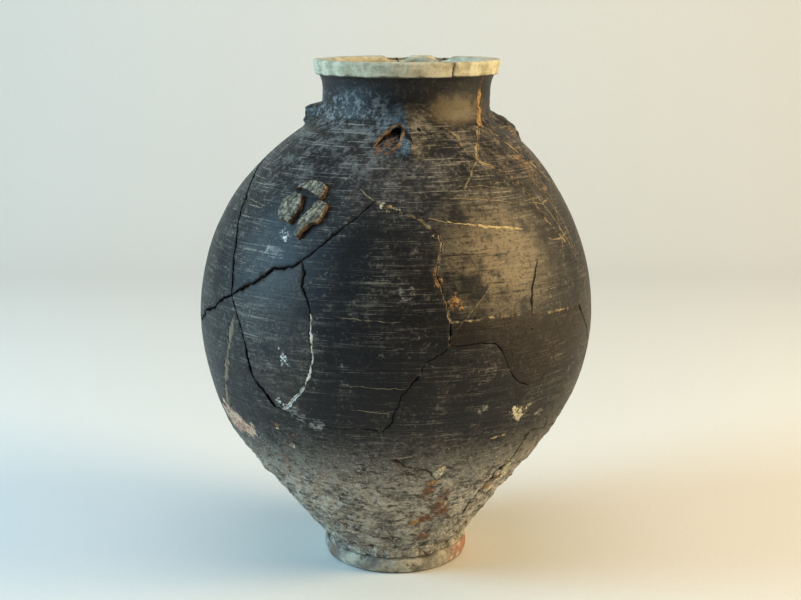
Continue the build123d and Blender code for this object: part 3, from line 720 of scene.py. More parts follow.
def make_sherd(name, edges, finish, seed, shade):
    """One wall sherd: a grid blended between its four edges (each edge carried across towards the facing one, less
    the blend of the four corners) in azimuth and elevation, laid on the wall, with worn edges and an inner face."""
    rng = np.random.default_rng(seed)
    lengths = []
    chains = []
    azimuth = LINES[edges[0][0].lstrip("-")][-1 if edges[0][0].startswith("-") else 0, 0]
    for parts, weights in zip(edges, EDGE_WEIGHTS):
        length, chain = sherd_edge(parts, azimuth, weights)
        azimuth = chain[-1, 1]
        lengths.append(length)
        chains.append(chain)
    across = edge_spaced((lengths[0] + lengths[2]) / 2)
    down = edge_spaced((lengths[1] + lengths[3]) / 2)
    top = on_edge(chains[0], across)[None]
    right = on_edge(chains[1], down)[:, None]
    bottom = on_edge(chains[2], 1 - across)[None]
    left = on_edge(chains[3], 1 - down)[:, None]
    u = across[None, :, None]
    v = down[:, None, None]
    corners = (1 - u) * (1 - v) * top[:, :1] + u * (1 - v) * top[:, -1:]
    corners = corners + (1 - u) * v * bottom[:, :1] + u * v * bottom[:, -1:]
    sheet = (1 - v) * top + v * bottom + (1 - u) * left + u * right - corners
    azimuth, elevation = np.moveaxis(unfolded(sheet[..., :2]), -1, 0)
    face = wall_point(azimuth, elevation)
    distance, nearest = nearest_on(face, border(face))
    ring = np.concatenate([top[0, :-1], right[:-1, 0], bottom[0, :0:-1], left[:0:-1, 0]])
    pale, chip = (np.maximum(ring[:, column], SOUND_CHIP)[nearest] for column in (2, 3))
    worn = np.clip(1 - distance / chip, 0, 1)
    flush = ease(chip, BROKEN_CHIP, SOUND_CHIP) * ease(distance, 16, 0)
    misfit = (1 - flush) * (rng.normal(0, 0.1) + 0.15 * clay_noise(face, 60, seed))
    out = hand_relief(face) + misfit - 0.5 * chip * worn**2
    outer = wall_point(azimuth, elevation, out)
    inner = wall_point(azimuth, elevation, -WALL + 0.4 * clay_noise(face, 22, 7))
    masks = {
        # crack darkens the breaks and their faces: painted shade in the gaps, with dirt
        "crack": np.exp(-distance / (0.25 + 0.5 * chip)) * ease(chip, SOUND_CHIP, BROKEN_CHIP),
        "pale": pale * np.exp(-((distance / 1.45) ** 2)),
        "chip": worn * ease(chip, 0.7, 1.6),
        "tone": np.full(worn.shape, shade),
    }
    both = {label: np.stack([values, values * (label == "crack")]) for label, values in masks.items()}
    add_piece(name, np.stack([outer, inner]), slab_faces(*azimuth.shape), finish, both)


def turned(azimuth, radius, height):
    """Points at a radius and azimuth about the leaning axis."""
    turn = np.radians(azimuth)
    side = radius * np.sin(turn) + lean(height)
    return np.stack([side, -radius * np.cos(turn), height + 0 * turn], axis=-1)


def spaced(profile, count):
    """A profile's points (radius, height) spaced evenly along its length."""
    profile = np.array(profile, float)
    along = walked(np.diff(profile, axis=0))
    walk = np.linspace(0, along[-1], count)
    return np.stack([np.interp(walk, along, column) for column in profile.T], axis=1)


def make_band(name, start, end, outer, inner, relief, finish, jag=0.0, seeds=(0, 0), drifts=(0, 0)):
    """A ring, or a piece of one: an outer profile going up and an inner one coming down, carried round the leaning
    axis between two broken ends whose azimuth wavers along the profile and drifts at the neck's root, and moved out
    by a relief field. Each break has its own seed, so that the pieces on both sides of it fit."""
    loop = np.concatenate([outer, inner])
    closed = end - start >= 360
    mean_radius = loop[:, 0].mean()
    around = max(9, int(np.radians(end - start) * mean_radius / BAND_STEP))
    shares = np.linspace(0, 1, around, endpoint=not closed)[:, None]
    cut = np.degrees(jag / mean_radius)
    waver = [cut * waves(loop[:, 1] + 0.7 * loop[:, 0], BREAK_WAVES[1:], np.random.default_rng(seed))
             + drift * ease(loop[:, 1], *NECK_DRIFT_HEIGHTS) for seed, drift in zip(seeds, drifts)]
    azimuth = (start + waver[0]) * (1 - shares) + (end + waver[1]) * shares
    radius = np.broadcast_to(loop[:, 0], azimuth.shape)
    height = np.broadcast_to(loop[:, 1], azimuth.shape)
    plain = turned(azimuth, radius, height)
    tangent = np.roll(loop, -1, axis=0) - np.roll(loop, 1, axis=0)
    normal = np.stack([tangent[:, 1], -tangent[:, 0]], axis=1)
    normal /= np.maximum(np.linalg.norm(normal, axis=1, keepdims=True), 1e-6)
    ends = np.minimum(shares, 1 - shares) * np.radians(end - start) * mean_radius
    worn = np.zeros_like(azimuth) if closed else np.clip(1 - ends / WORN_REACH, 0, 1) + 0 * azimuth
    out = relief(plain, azimuth, height) - WORN_DEPTH * worn**2
    points = turned(azimuth, radius + out * normal[:, 0], height + out * normal[:, 1])
    # crack darkens the broken ends: painted shade in the gaps, with dirt
    masks = {"crack": worn**2, "pale": 0.8 * worn}
    return add_piece(name, points, band_faces(*azimuth.shape, closed), finish, masks)


def neck_outer(height):
    """Outer radius of the neck: a flare at its root, an upright throat and a flare under the rim."""
    return np.interp(height, NECK_HEIGHTS, NECK_RADII)


def neck_relief(points, azimuth, height):
    """Slow swells and wiping ridges on the neck."""
    return 0.5 * clay_noise(points, 40, 11) + 0.16 * clay_noise(points * [1, 1, 3], 9, 12)


def filler_relief(points, azimuth, height):
    """Crumbly filler smeared over the edges of its crack."""
    crumbs = 0.6 * clay_noise(points, 3.4, 20) + 0.35 * clay_noise(points, 1.6, 21)
    return neck_relief(points, azimuth, height) + 0.3 + crumbs


def rim_relief(points, azimuth, height):
    """A worn lip: swells, nicks, and the two dips on the far side where chips came off at the breaks."""
    top = ease(height, RIM_BOTTOM + 4, RIM_TOP)
    turn = np.radians((azimuth[..., None] - RIM_BREAKS[1:] + 180) % 360 - 180)
    dips = np.clip(DIP_DEPTH - (turn * RIM_RADIUS) ** 2 / (2 * DIP_RADIUS), 0, None).sum(axis=-1)
    nicks = ease(clay_noise(points, 5, 13), 0.55, 0.95)
    swell = 0.22 * clay_noise(points, 30, 14) + 0.07 * clay_noise(points, 6, 15) + 0.06 * clay_noise(points, 2.6, 22)
    return swell - 0.2 - 0.5 * nicks - top * dips


def foot_relief(points, azimuth, height):
    """A worn, lumpy foot that stays flat where it stands."""
    lumps = 0.7 * clay_noise(points, 19, 16) + 0.4 * clay_noise(points, 7, 17)
    return ease(height, 0, 2.5) * (lumps - 0.5 * ease(clay_noise(points, 4, 18), 0.3, 0.9))


def fan_faces(around, count):
    """Quads of a line of points carried round a closed turn, from its first point to its last."""
    corner = np.arange(around * count).reshape(around, count)
    ahead = np.roll(corner, -1, axis=0)
    return np.stack([corner[:, :-1], ahead[:, :-1], ahead[:, 1:], corner[:, 1:]], axis=-1).reshape(-1, 4)


def make_floor(name, finish):
    """The base slab: a line from its centre below, round its edge, to its centre above, turned about the axis."""
    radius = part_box(name)[1][0] / MM
    profile = [(0, FLOOR_BOTTOM), (radius - 1, FLOOR_BOTTOM), (radius, FLOOR_BOTTOM + 1), (radius, FLOOR_TOP - 1),
               (radius - 1, FLOOR_TOP), (0, FLOOR_TOP)]
    line = spaced(profile, FLOOR_POINTS)
    azimuth = np.linspace(0, 360, FLOOR_AROUND, endpoint=False)[:, None]
    height = np.broadcast_to(line[:, 1], (FLOOR_AROUND, FLOOR_POINTS))
    points = turned(azimuth, line[:, 0], height)
    swell = 0.35 * clay_noise(points, 15, 19) * ease(radius - line[:, 0], 0, 3)
    points[..., 2] += swell * np.where(line[:, 1] < FLOOR_TOP / 2, -1, 1)
    return add_piece(name, points, fan_faces(FLOOR_AROUND, FLOOR_POINTS), finish, merge=True)


def corner_radius(height):
    """Radius of the outermost wall where the neck stands on the shoulder, rounded into the corner."""
    step = shoulder_radius(height) - neck_outer(height)
    return neck_outer(height) + 0.5 * (step + np.sqrt(step**2 + CORNER_ROUND**2)) - CORNER_SINK


def make_lug(name, finish, seed):
    """A pinched clay lug: over a grid of side offset and height, the wall stands out by the crest's curve times a
    tent that falls from 1 at the crest to 0 at the span's ends, which draw in towards the top; its border and its
    back lie inside the wall."""
    azimuth, shifts, crest, span, narrow, pinch, crown = LUGS[name]
    heights, stands = np.array(crest, float).T
    share = np.linspace(-1, 1, LUG_COLUMNS)[None, :]
    share = np.sign(share) * np.abs(share) ** LUG_CROWDING
    down = np.linspace(0, 1, LUG_ROWS)[:, None]
    side = share * span * (narrow + (1 - narrow) * np.clip(down / LUG_TAPER, 0, 1))
    height = heights[-1] + (heights[0] - heights[-1]) * down
    fine = np.linspace(heights[0], heights[-1], 200)
    stand = np.interp(height, fine, smoothed(np.interp(fine, heights, stands), 8))
    tent = 0.8 * (1 - np.abs(share)) ** pinch + 0.2 * np.exp(-((side / crown) ** 2))
    across = side + shifts[0] + (shifts[1] - shifts[0]) * down
    wall = np.sqrt(corner_radius(height) ** 2 - across**2)
    ahead = np.stack([wall + (stand + LUG_SINK) * tent - LUG_SINK, wall - LUG_DEPTH])
    angle = np.radians(azimuth)
    tall = np.broadcast_to(height, ahead.shape)
    points = np.stack([
        lean(tall) + across * np.cos(angle) + ahead * np.sin(angle),
        across * np.sin(angle) - ahead * np.cos(angle),
        tall,
    ], axis=-1)
    lumps = clay_noise(points[0], 11, seed) + 0.7 * clay_noise(points[0], 4.5, seed + 1)
    lumps += 0.3 * clay_noise(points[0], 2.4, seed)
    points[0] += (lumps * ease(stand * tent, -0.5, 5))[..., None] * [np.sin(angle), -np.cos(angle), 0.3]
    return add_piece(name, points, slab_faces(LUG_ROWS, LUG_COLUMNS), finish)


def bore_cord_hole(lug):
    """Cuts the cord hole through the lug: a round tube carried along a bent path, wide in the scoop below the left
    entry, about the hole's own radius inside and narrow at its right exit."""
    steps = np.linspace(0, 1, SCOOP_ROWS)
    path = np.stack([smoothed(np.interp(steps, SCOOP_STEPS, column), 5) for column in np.array(SCOOP_PATH).T], axis=1)
    centre = CORD_HOLE + path[:, :3]
    ahead = np.gradient(centre, axis=0)
    ahead /= np.linalg.norm(ahead, axis=1, keepdims=True)
    up = np.cross(ahead, [0, 1, 0])
    up /= np.linalg.norm(up, axis=1, keepdims=True)
    out = np.cross(up, ahead)
    turn = np.linspace(0, 2 * np.pi, SCOOP_SIDES, endpoint=False)[:, None, None]
    ring = np.cos(turn) * up + np.sin(turn) * out
    points = centre + path[:, 3:] * ring
    points += 0.3 * clay_noise(points, 4, 31)[..., None] * ring
    first, last = (np.broadcast_to(end, (SCOOP_SIDES, 1, 3)) for end in centre[[0, -1]])
    points = np.concatenate([first, points, last], axis=1)
    mesh = new_mesh("cord_hole", points, fan_faces(*points.shape[:2]))
    weld(mesh)
    tool = add_object("cord_hole", mesh)
    cut = lug.modifiers.new("cord_hole", "BOOLEAN")
    cut.operation = "DIFFERENCE"
    cut.solver = "EXACT"
    cut.object = tool
    bored = bpy.data.meshes.new_from_object(lug.evaluated_get(bpy.context.evaluated_depsgraph_get()))
    lug.modifiers.remove(cut)
    lug.data = bored
    bpy.data.objects.remove(tool)
    shade_smooth(bored)
    places = np.empty(3 * len(bored.vertices))
    bored.vertices.foreach_get("co", places)
    away, nearest = nearest_on(places.reshape(-1, 3) / MM, centre)
    inside = ease(away - path[nearest, 3], 5.0, 0.2)
    depth = ease(steps[nearest], 0.74, 0.66) * (0.48 + 0.52 * ease(steps[nearest], 0.38, 0.52))
    # The hole mask grows with depth into the hole; it sets painted warm light at the entry and painted shade deep
    # inside
    add_mask(bored, "hole", inside * depth)


def make_stump(name, finish, seed):
    """The stump of a broken boss: a ragged outline carried up from below the wall's surface, up the broken sides,
    then in to the middle over a rough top."""
    outline = np.array(STUMPS[name] + STUMPS[name][:1], float)
    along = walked(np.diff(wall_point(*outline.T), axis=0))
    walk = np.linspace(0, along[-1], STUMP_POINTS, endpoint=False)
    ring = np.stack([np.interp(walk, along, column) for column in outline.T], axis=1)[::-1]
    middle = np.array(STUMP_MIDDLES[name])
    share, out = np.array(STUMP_LAYERS).T
    chart = middle + share[None, :, None] * (ring[:, None] - middle)
    plain = wall_point(chart[..., 0], chart[..., 1])
    ragged = 0.07 * clay_noise(plain, 4.5, seed + 2) * ease(share, 0.6, 1.0)
    chart = middle + (share + ragged)[..., None] * (ring[:, None] - middle)
    plain = wall_point(chart[..., 0], chart[..., 1])
    rough = 0.8 * clay_noise(plain, 7, seed) + 0.5 * clay_noise(plain, 2.6, seed + 1)
    points = wall_point(chart[..., 0], chart[..., 1], hand_relief(plain) + out + rough * ease(out, 0.5, 3))
    tops = np.broadcast_to(ease(out, 2.2, 3.6), rough.shape)
    return add_piece(name, points, fan_faces(*rough.shape), finish, {"top": tops}, merge=True)


def make_wall_fill(name, line, proud, finish, seed):
    """Filler pressed into an open crack: a lumpy strip section, as wide as the gap, carried along the break line."""
    rows = LINES[line]
    rows = rows[np.hypot(rows[:, 2], rows[:, 3]) > np.degrees(FILL_LEAST / BELLY_RADIUS)]
    side, out = np.array(FILL_SECTION).T
    azimuth = rows[:, :1] + side * rows[:, 2:3]
    elevation = rows[:, 1:2] + side * rows[:, 3:4]
    plain = wall_point(azimuth, elevation)
    lumps = 0.35 * clay_noise(plain, 4, seed) + 0.25 * clay_noise(plain, 1.7, seed + 1)
    lift = hand_relief(plain) + np.where(out > -0.5, out + proud + lumps, out)
    points = wall_point(azimuth, elevation, lift)
    add_piece(name, points, band_faces(*lift.shape, False), finish)


class Socket:
    """A value in a finish's node tree; operators on it add Math nodes."""

    def __init__(self, finish, socket):
        self.finish = finish
        self.socket = socket

    def maths(self, operation, *values):
        return self.finish.node("ShaderNodeMath", {"operation": operation}, dict(enumerate(values)))

    def __add__(self, other):
        return self.maths("ADD", self, other)

    def __sub__(self, other):
        return self.maths("SUBTRACT", self, other)

    def __rsub__(self, other):
        return self.maths("SUBTRACT", other, self)

    def __mul__(self, other):
        return self.maths("MULTIPLY", self, other)

    def __truediv__(self, other):
        return self.maths("DIVIDE", self, other)

    def __neg__(self):
        return self.maths("MULTIPLY", self, -1)

    def __abs__(self):
        return self.maths("ABSOLUTE", self)

    __radd__ = __add__
    __rmul__ = __mul__


def tone(red, green, blue):
    """A colour given as it looks on screen, 0 to 255, as linear light."""
    screen = np.array([red, green, blue]) / 255
    linear = np.where(screen <= 0.04045, screen / 12.92, ((screen + 0.055) / 1.055) ** 2.4)
    return (*linear.tolist(), 1.0)


class Finish:
    """A material being mixed: nodes are added by expressions on sockets and by node()."""

    def __init__(self, name):
        self.material = bpy.data.materials.new(name)
        self.material.use_nodes = True
        self.tree = self.material.node_tree
        self.tree.nodes.clear()
        self.place = self.node("ShaderNodeTexCoord", output="Object")
        self.x, self.y, self.z = (self.node("ShaderNodeSeparateXYZ", inputs={0: self.place}, output=axis) / MM
                                  for axis in "XYZ")

    def node(self, kind, settings=None, inputs=None, output=0):
        """Adds a node: its settings first (knots fills a curve), then its sockets."""
        node = self.tree.nodes.new(kind)
        for key, value in (settings or {}).items():
            if key == "knots":
                curve = node.mapping.curves[0]
                for _ in value[2:]:
                    curve.points.new(0.5, 0.5)
                for point, knot in zip(curve.points, value):
                    point.location = knot
                    point.handle_type = "VECTOR"
                node.mapping.update()
            else:
                setattr(node, key, value)
        for key, value in (inputs or {}).items():
            if isinstance(value, Socket):
                self.tree.links.new(value.socket, node.inputs[key])
            else:
                node.inputs[key].default_value = value
        return Socket(self, node.outputs[output]) if node.outputs else None

    def noise(self, size, stretch=(1, 1, 1), detail=3.0, roughness=0.5, shift=0.0):
        """Noise about size mm across, squeezed along each axis by stretch."""
        spot = self.node("ShaderNodeVectorMath", {"operation": "MULTIPLY_ADD"},
                         {0: self.place, 1: stretch, 2: (shift, shift, shift)})
        return self.node("ShaderNodeTexNoise", {"noise_dimensions": "3D"},
                         {"Vector": spot, "Scale": 1 / (size * MM), "Detail": detail, "Roughness": roughness})

    def warped(self, size, reach):
        """Object coordinates pushed about by noise of a size, up to about reach mm, for ragged outlines."""
        inputs = {"Vector": self.place, "Scale": 1 / (size * MM), "Detail": 4.0, "Roughness": 0.65}
        spot = self.node("ShaderNodeTexNoise", {"noise_dimensions": "3D"}, inputs, output="Color")
        push = self.node("ShaderNodeVectorMath", {"operation": "SUBTRACT"}, {0: spot, 1: (0.5, 0.5, 0.5)})
        return self.node("ShaderNodeVectorMath", {"operation": "MULTIPLY_ADD"},
                         {0: push, 1: (4 * reach * MM,) * 3, 2: self.place})

    def between(self, value, low, high):
        """Smoothstep of a value from 0 at low to 1 at high."""
        ends = (low, high, 0.0, 1.0) if low < high else (high, low, 1.0, 0.0)
        return self.node("ShaderNodeMapRange", {"interpolation_type": "SMOOTHSTEP"},
                         dict(enumerate((value, *ends))))

    def mix(self, share, under, over):
        """One colour over another."""
        return self.node("ShaderNodeMix", {"data_type": "RGBA"}, {0: share, 6: under, 7: over}, output=2)

    def blend(self, value, low, high, first, second):
        """One tone turning into another while a value goes from low to high."""
        return self.mix(self.between(value, low, high), tone(*first), tone(*second))

    def coats(self, colour, *rows):
        """Tones or colours laid over a colour in turn: each covers by its strength where its value has gone from low
        to high."""
        for value, low, high, strength, over in rows:
            over = tone(*over) if isinstance(over, tuple) else over
            colour = self.mix(self.between(value, low, high) * strength, colour, over)
        return colour

    def mask(self, name):
        """A mask kept on the mesh."""
        return self.node("ShaderNodeAttribute", {"attribute_name": name}, output="Fac")

    def wall_turn(self):
        """Azimuth and elevation about the leaning axis, in degrees."""
        heights, shifts = LEAN_TABLE
        picks = slice(20, 411, 30)
        knots = list(zip(heights[picks] / 400, (shifts[picks] + 5) / 15))
        shift = self.node("ShaderNodeFloatCurve", {"knots": knots}, {"Value": self.z / 400}) * 15 - 5
        side = self.x - shift
        azimuth = side.maths("ARCTAN2", side, -self.y) * np.degrees(1)
        radius = side.maths("SQRT", side * side + self.y * self.y)
        elevation = side.maths("ARCTAN2", self.z - BELLY_HEIGHT, radius) * np.degrees(1)
        return azimuth, elevation

    def away(self, place, azimuth, elevation):
        """Distance in metres from a point of the wall."""
        middle = (wall_point(azimuth, elevation) * MM).tolist()
        return self.node("ShaderNodeVectorMath", {"operation": "DISTANCE"}, {0: place, 1: middle}, output="Value")

    def spot(self, place, azimuth, elevation, radius, ragged):
        """A ragged patch round a point of the wall: warped distance from it, upset by noise."""
        away = self.away(place, azimuth, elevation)
        return self.between(away.maths("MULTIPLY_ADD", away, 1 / (radius * MM), ragged), 1.3, 0.8)

    def stroke(self, run, rise, knots, width, waver):
        """A line drawn on the wall, thin at both ends: a curve gives rise for each run, both in degrees."""
        runs, rises = np.array(sorted(knots), float).T
        low, high = rises.min() - 5, rises.max() + 5
        shares = (runs - runs[0]) / (runs[-1] - runs[0])
        share = (run - runs[0]) / (runs[-1] - runs[0])
        points = list(zip(shares.tolist(), ((rises - low) / (high - low)).tolist()))
        line = self.node("ShaderNodeFloatCurve", {"knots": points}, {"Value": share}) * (high - low) + low
        taper = 1.001 - (share * 2 - 1) * (share * 2 - 1)
        swell = taper.maths("MAXIMUM", taper, 0.001)
        drawn = self.between(abs(rise - line + waver) / swell.maths("SQRT", swell), width, 0.3 * width)
        return drawn * self.between(taper, 0.0, 0.06)

    def done(self, colour, roughness, bump, specular=0.5):
        """Finishes the material: bump is a height in mm."""
        normal = self.node("ShaderNodeBump", inputs={"Strength": 1.0, "Distance": MM, "Height": bump}, output="Normal")
        shader = self.node("ShaderNodeBsdfPrincipled", inputs={
            "Base Color": colour, "Roughness": roughness, "Normal": normal, "Specular IOR Level": specular})
        self.node("ShaderNodeOutputMaterial", inputs={"Surface": shader})
        return self.material


# Dark and light tone of each kind of mark, and strength and tone of each kind of fine line
MARK_TONES = {
    "flake": ((150, 104, 86), (208, 182, 152)),
    "ochre": ((112, 72, 38), (172, 134, 84)),
    "cream": ((142, 130, 102), (206, 196, 166)),
    "white": ((150, 150, 144), (214, 213, 205)),
    "dusty": ((84, 82, 77), (138, 135, 126)),
    "rust": ((54, 35, 27), (130, 90, 63)),
    "stain": ((92, 72, 48), (138, 114, 78)),
}
# The crack tone is painted shade of grooves that the mesh doesn't cut
STROKE_TONES = {"hairline": (0.62, (168, 152, 116)), "scratch": (0.85, (198, 174, 120)), "crack": (0.95, (12, 11, 10)),
                "rust": (0.8, (66, 36, 22))}


def mix_grey_ware():
    """Dark burnished ware: clouds and horizontal burnish streaks over grey-black, a painted warm sheen on the belly,
    dust at the root of the neck, painted shade under the rim, marks and fine lines, a rough beige crust with rust on
    the lower wall, and broken edges with painted shade in their gaps, and painted light and shade in the cord hole."""
    clay = Finish("grey_ware")
    azimuth, elevation = clay.wall_turn()
    cloud = clay.noise(75, detail=3)
    mottle = clay.noise(17, detail=5, roughness=0.62, shift=3)
    grain = clay.noise(2.2, detail=4, roughness=0.62, shift=5)
    streak = clay.noise(30, stretch=(1, 1, 13), detail=5, roughness=0.7, shift=7)
    hair = clay.noise(20, stretch=(0.5, 0.5, 26), detail=3, roughness=0.72, shift=9)
    crumb = clay.noise(4.5, detail=4, roughness=0.68, shift=11)
    drag = clay.noise(11, stretch=(1, 1, 2.6), detail=5, roughness=0.72, shift=19)
    spatter = clay.noise(8, detail=4, roughness=0.7, shift=17)
    pit = clay.noise(3, detail=0, shift=23)
    ragged = (crumb - 0.5) * 2.4
    uneven = mottle - 0.5
    waver = (clay.noise(6, detail=4, shift=13) - 0.5) * 1.4
    torn = clay.warped(5, 4)
    right = clay.between(clay.x, -20, 100)
    high = clay.between(elevation, 26, 52)
    throat = clay.between(clay.z, 344, 352)
    worn = clay.between(mottle + cloud * 0.6, 0.68, 0.92)
    wiped = (0.2 + 0.8 * worn + 0.2 * high) * (1 - 0.85 * throat)

    # The ware itself, a painted warm sheen on the right of the belly, burnish streaks, wear, grain, a dark band and
    # pits
    tint = clay.mask("tone")
    # Distance from the middle of the painted warm sheen on the right of the belly
    away = clay.away(clay.place, 31, 25) / MM
    pits = clay.between(pit, 0.27, 0.22) * (0.3 + 0.7 * right) * clay.between(elevation, 20, 8)
    colour = clay.coats(
        clay.blend(cloud, 0.36, 0.66, (14, 14, 17), (36, 33, 30)),
        (tint, 0, 1, 1, (80, 74, 65)),
        (tint, 0, -1, 1, (36, 27, 19)),
        # Painted warm sheen: a pale warm tone round the right of the belly
        (away, 58, 12, clay.between(mottle + streak * 0.5, 0.56, 0.84) * 0.85, (136, 119, 90)),
        (streak, 0.53, 0.7, wiped * 0.66, (106, 101, 92)),
        (streak, 0.47, 0.34, 0.8, (11, 10, 11)),
        (mottle, 0.48, 0.32, 0.7, (13, 12, 12)),
        (hair, 0.575, 0.65, wiped * (0.38 + 0.4 * high), (166, 158, 140)),
        (mottle + crumb * 0.5, 0.62, 0.95, high * 0.25, (108, 104, 96)),
        (crumb, 0.56, 0.66, worn * 0.55, (112, 106, 95)),
        (grain, 0.47, 0.36, 0.75, (10, 9, 9)),
        (grain, 0.58, 0.68, (0.1 + 0.6 * worn + 0.3 * high) * 0.6, (140, 133, 119)),
        (azimuth + uneven * 30, 66, 40, clay.between(tint, -0.2, -0.9) * 0.6, (26, 18, 12)),
    )
    colour = clay.mix(pits, colour, tone(8, 8, 8))

    # Dust on the shoulder at the root of the neck, browner on the right; painted shade under the rim that darkens the
    # top of the throat; a pale crust low down on the throat and a rubbed patch
    ledge = clay.between(clay.z, 288, 336) * clay.between(clay.z, 358, 345)
    dust = ledge * clay.between(crumb * 0.6 + grain * 0.3 + mottle * 0.5 + hair * 0.2, 0.78, 0.95)
    low_throat = clay.between(clay.z, 374, 358) * clay.between(clay.z, 338, 350)
    frost = low_throat * clay.between(clay.x + ragged * 14, 8, -20)
    across, up = (clay.x - 44) / 22, (clay.z - 356) / 13
    colour = clay.coats(
        clay.mix(dust * 0.6, colour, clay.mix(right, tone(116, 117, 115), tone(134, 112, 82))),
        # Painted shade under the rim: the neck grows darker towards its top
        (clay.z + uneven * 18, 350, 366, 0.75, (15, 14, 16)),
        (crumb + drag * 0.6, 0.78, 0.94, frost * 0.55, (148, 149, 147)),
        (across * across + up * up + ragged * 0.7 + uneven * 2, 1.2, 0, clay.between(clay.y, 0, -10) * 0.6,
         (124, 108, 80)),
    )

    # Crust on the lower wall
    edge = clay.z + uneven * 90 + (drag - 0.5) * 50
    crust = clay.between(edge, 142, 84)
    low = clay.between(edge, 150, 75)
    beige = clay.coats(
        clay.blend(mottle, 0.36, 0.64, (112, 106, 96), (182, 174, 156)),
        (drag, 0.49, 0.37, 0.85, (44, 39, 35)),
        (drag, 0.54, 0.66, 0.7, (204, 197, 182)),
        (crumb, 0.46, 0.36, 0.75, (40, 36, 32)),
        (grain, 0.55, 0.66, 0.7, (204, 197, 180)),
        (grain, 0.44, 0.32, 0.6, (60, 54, 47)),
    )
    colour = clay.coats(
        clay.mix(crust * 0.92, colour, beige),
        (spatter, 0.63, 0.7, low, (106, 70, 44)),
        (spatter, 0.36, 0.3, low, (190, 180, 156)),
    )

    # Marks and fine lines
    scuff = clay.between(hair + crumb, 0.92, 1.12)
    chalk = clay.between(crumb + grain * 0.7, 0.8, 0.96)
    crumbly = clay.between(crumb + grain * 0.6, 0.7, 0.8)
    wear = {"white": chalk, "dusty": scuff, "stain": scuff, "flake": 1.0}
    for kind, (dark, light) in MARK_TONES.items():
        cover, *others = (clay.spot(torn, *mark[:3], ragged * 0.6) for mark in MARKS[kind])
        for spot in others:
            cover = cover.maths("MAXIMUM", cover, spot)
        shade = clay.blend(crumb + grain * 0.8, 0.78, 1.04, dark, light)
        colour = clay.mix(cover * wear.get(kind, crumbly), colour, shade)
    grooves = gap_shade_and_dirt = clay.mask("crack")
    for kind, way, knots, width in STROKES:
        run, rise = (elevation, azimuth) if way == "up" else (azimuth, elevation)
        limits = (0.3, 0.4) if kind == "crack" else (0.36, 0.54)
        drawn = clay.stroke(run, rise, knots, width, waver) * clay.between(crumb, *limits)
        strength, shade = STROKE_TONES[kind]
        # Fine lines of the crack kind paint the shade of a groove
        colour = clay.mix(drawn * strength, colour, tone(*shade))
        if kind == "crack":
            grooves = grooves.maths("MAXIMUM", grooves, drawn)

    # Broken edges with painted shade in their gaps, white filler smeared down the break below its strip, and the cord
    # hole with painted light and shade
    edging = clay.between(clay.mask("pale") + ragged * 0.6 + uneven * 1.1, 0.46, 0.84)
    smeared = clay.spot(torn, -28.5, -12.5, 15, uneven * 1.5)
    buff = clay.blend(mottle, 0.35, 0.65, (126, 98, 64), (184, 164, 124))
    white = clay.blend(crumb, 0.4, 0.6, (150, 146, 136), (214, 212, 204))
    brown = clay.blend(crumb, 0.42, 0.6, (54, 32, 18), (146, 98, 54))
    hole = clay.mask("hole")
    colour = clay.mix(edging, colour, clay.mix(smeared, buff, white))
    colour = clay.mix(clay.mask("chip") * clay.between(crumb, 0.4, 0.6) * 0.6, colour, tone(98, 82, 65))
    # Painted shade in the gaps between sherds, with dirt: dark along the breaks and on their faces
    colour = clay.mix(gap_shade_and_dirt * (1 - 0.8 * edging), colour, tone(10, 9, 9))
    # Cord hole: brown at the entry is painted warm lamplight on its inner wall, the dark deeper in is painted shade
    colour = clay.coats(colour, (hole + ragged * 0.25, 0.12, 0.34, 1, brown), (hole, 0.8, 0.97, 1, (12, 9, 7)))
    bump = streak * 0.26 + grain * 0.22 + hair * 0.12 + mottle * 0.2 - pits * 0.4 - grooves * 0.5
    bump = bump + crust * (spatter * 1.2 + crumb * 1.1 + grain * 0.6 + drag * 1.3)
    roughness = 0.38 + mottle * 0.22 + crust * 0.35 + edging * 0.3 + dust * 0.2 + grooves * 0.6
    return clay.done(colour, roughness, bump, specular=0.25)


def mix_foot_ware():
    """Worn foot: beige-grey with brown stains, a reddish right end, pale crumbs and pits."""
    clay = Finish("worn_foot")
    mottle = clay.noise(15, detail=5, roughness=0.66)
    grain = clay.noise(2.4, detail=4, shift=5)
    crumb = clay.noise(5, detail=4, roughness=0.68, shift=11)
    stain = clay.noise(24, detail=3, shift=9)
    red = clay.mix(crumb, tone(110, 62, 42), tone(184, 128, 98))
    seam = clay.between(abs(clay.x - 8 + (mottle - 0.5) * 40), 30, 12)
    colour = clay.coats(
        clay.blend(mottle, 0.34, 0.66, (106, 100, 89), (180, 172, 152)),
        (crumb, 0.48, 0.34, 0.7, (62, 57, 52)),
        (stain, 0.58, 0.7, 0.6, (124, 88, 62)),
        (clay.x + (crumb - 0.5) * 30, 36, 50, 0.8, red),
        (crumb, 0.52, 0.66, clay.between(stain, 0.5, 0.4), (196, 192, 174)),
        (clay.z, 2.2, 0.2, 0.75, (40, 36, 33)),
        (clay.z + (crumb - 0.5) * 5, 11.5, 13.4, seam * 0.8, (44, 38, 33)),
    )
    return clay.done(colour, 0.76 + mottle * 0.15, grain * 0.5 + crumb * 0.9 + mottle * 0.6)


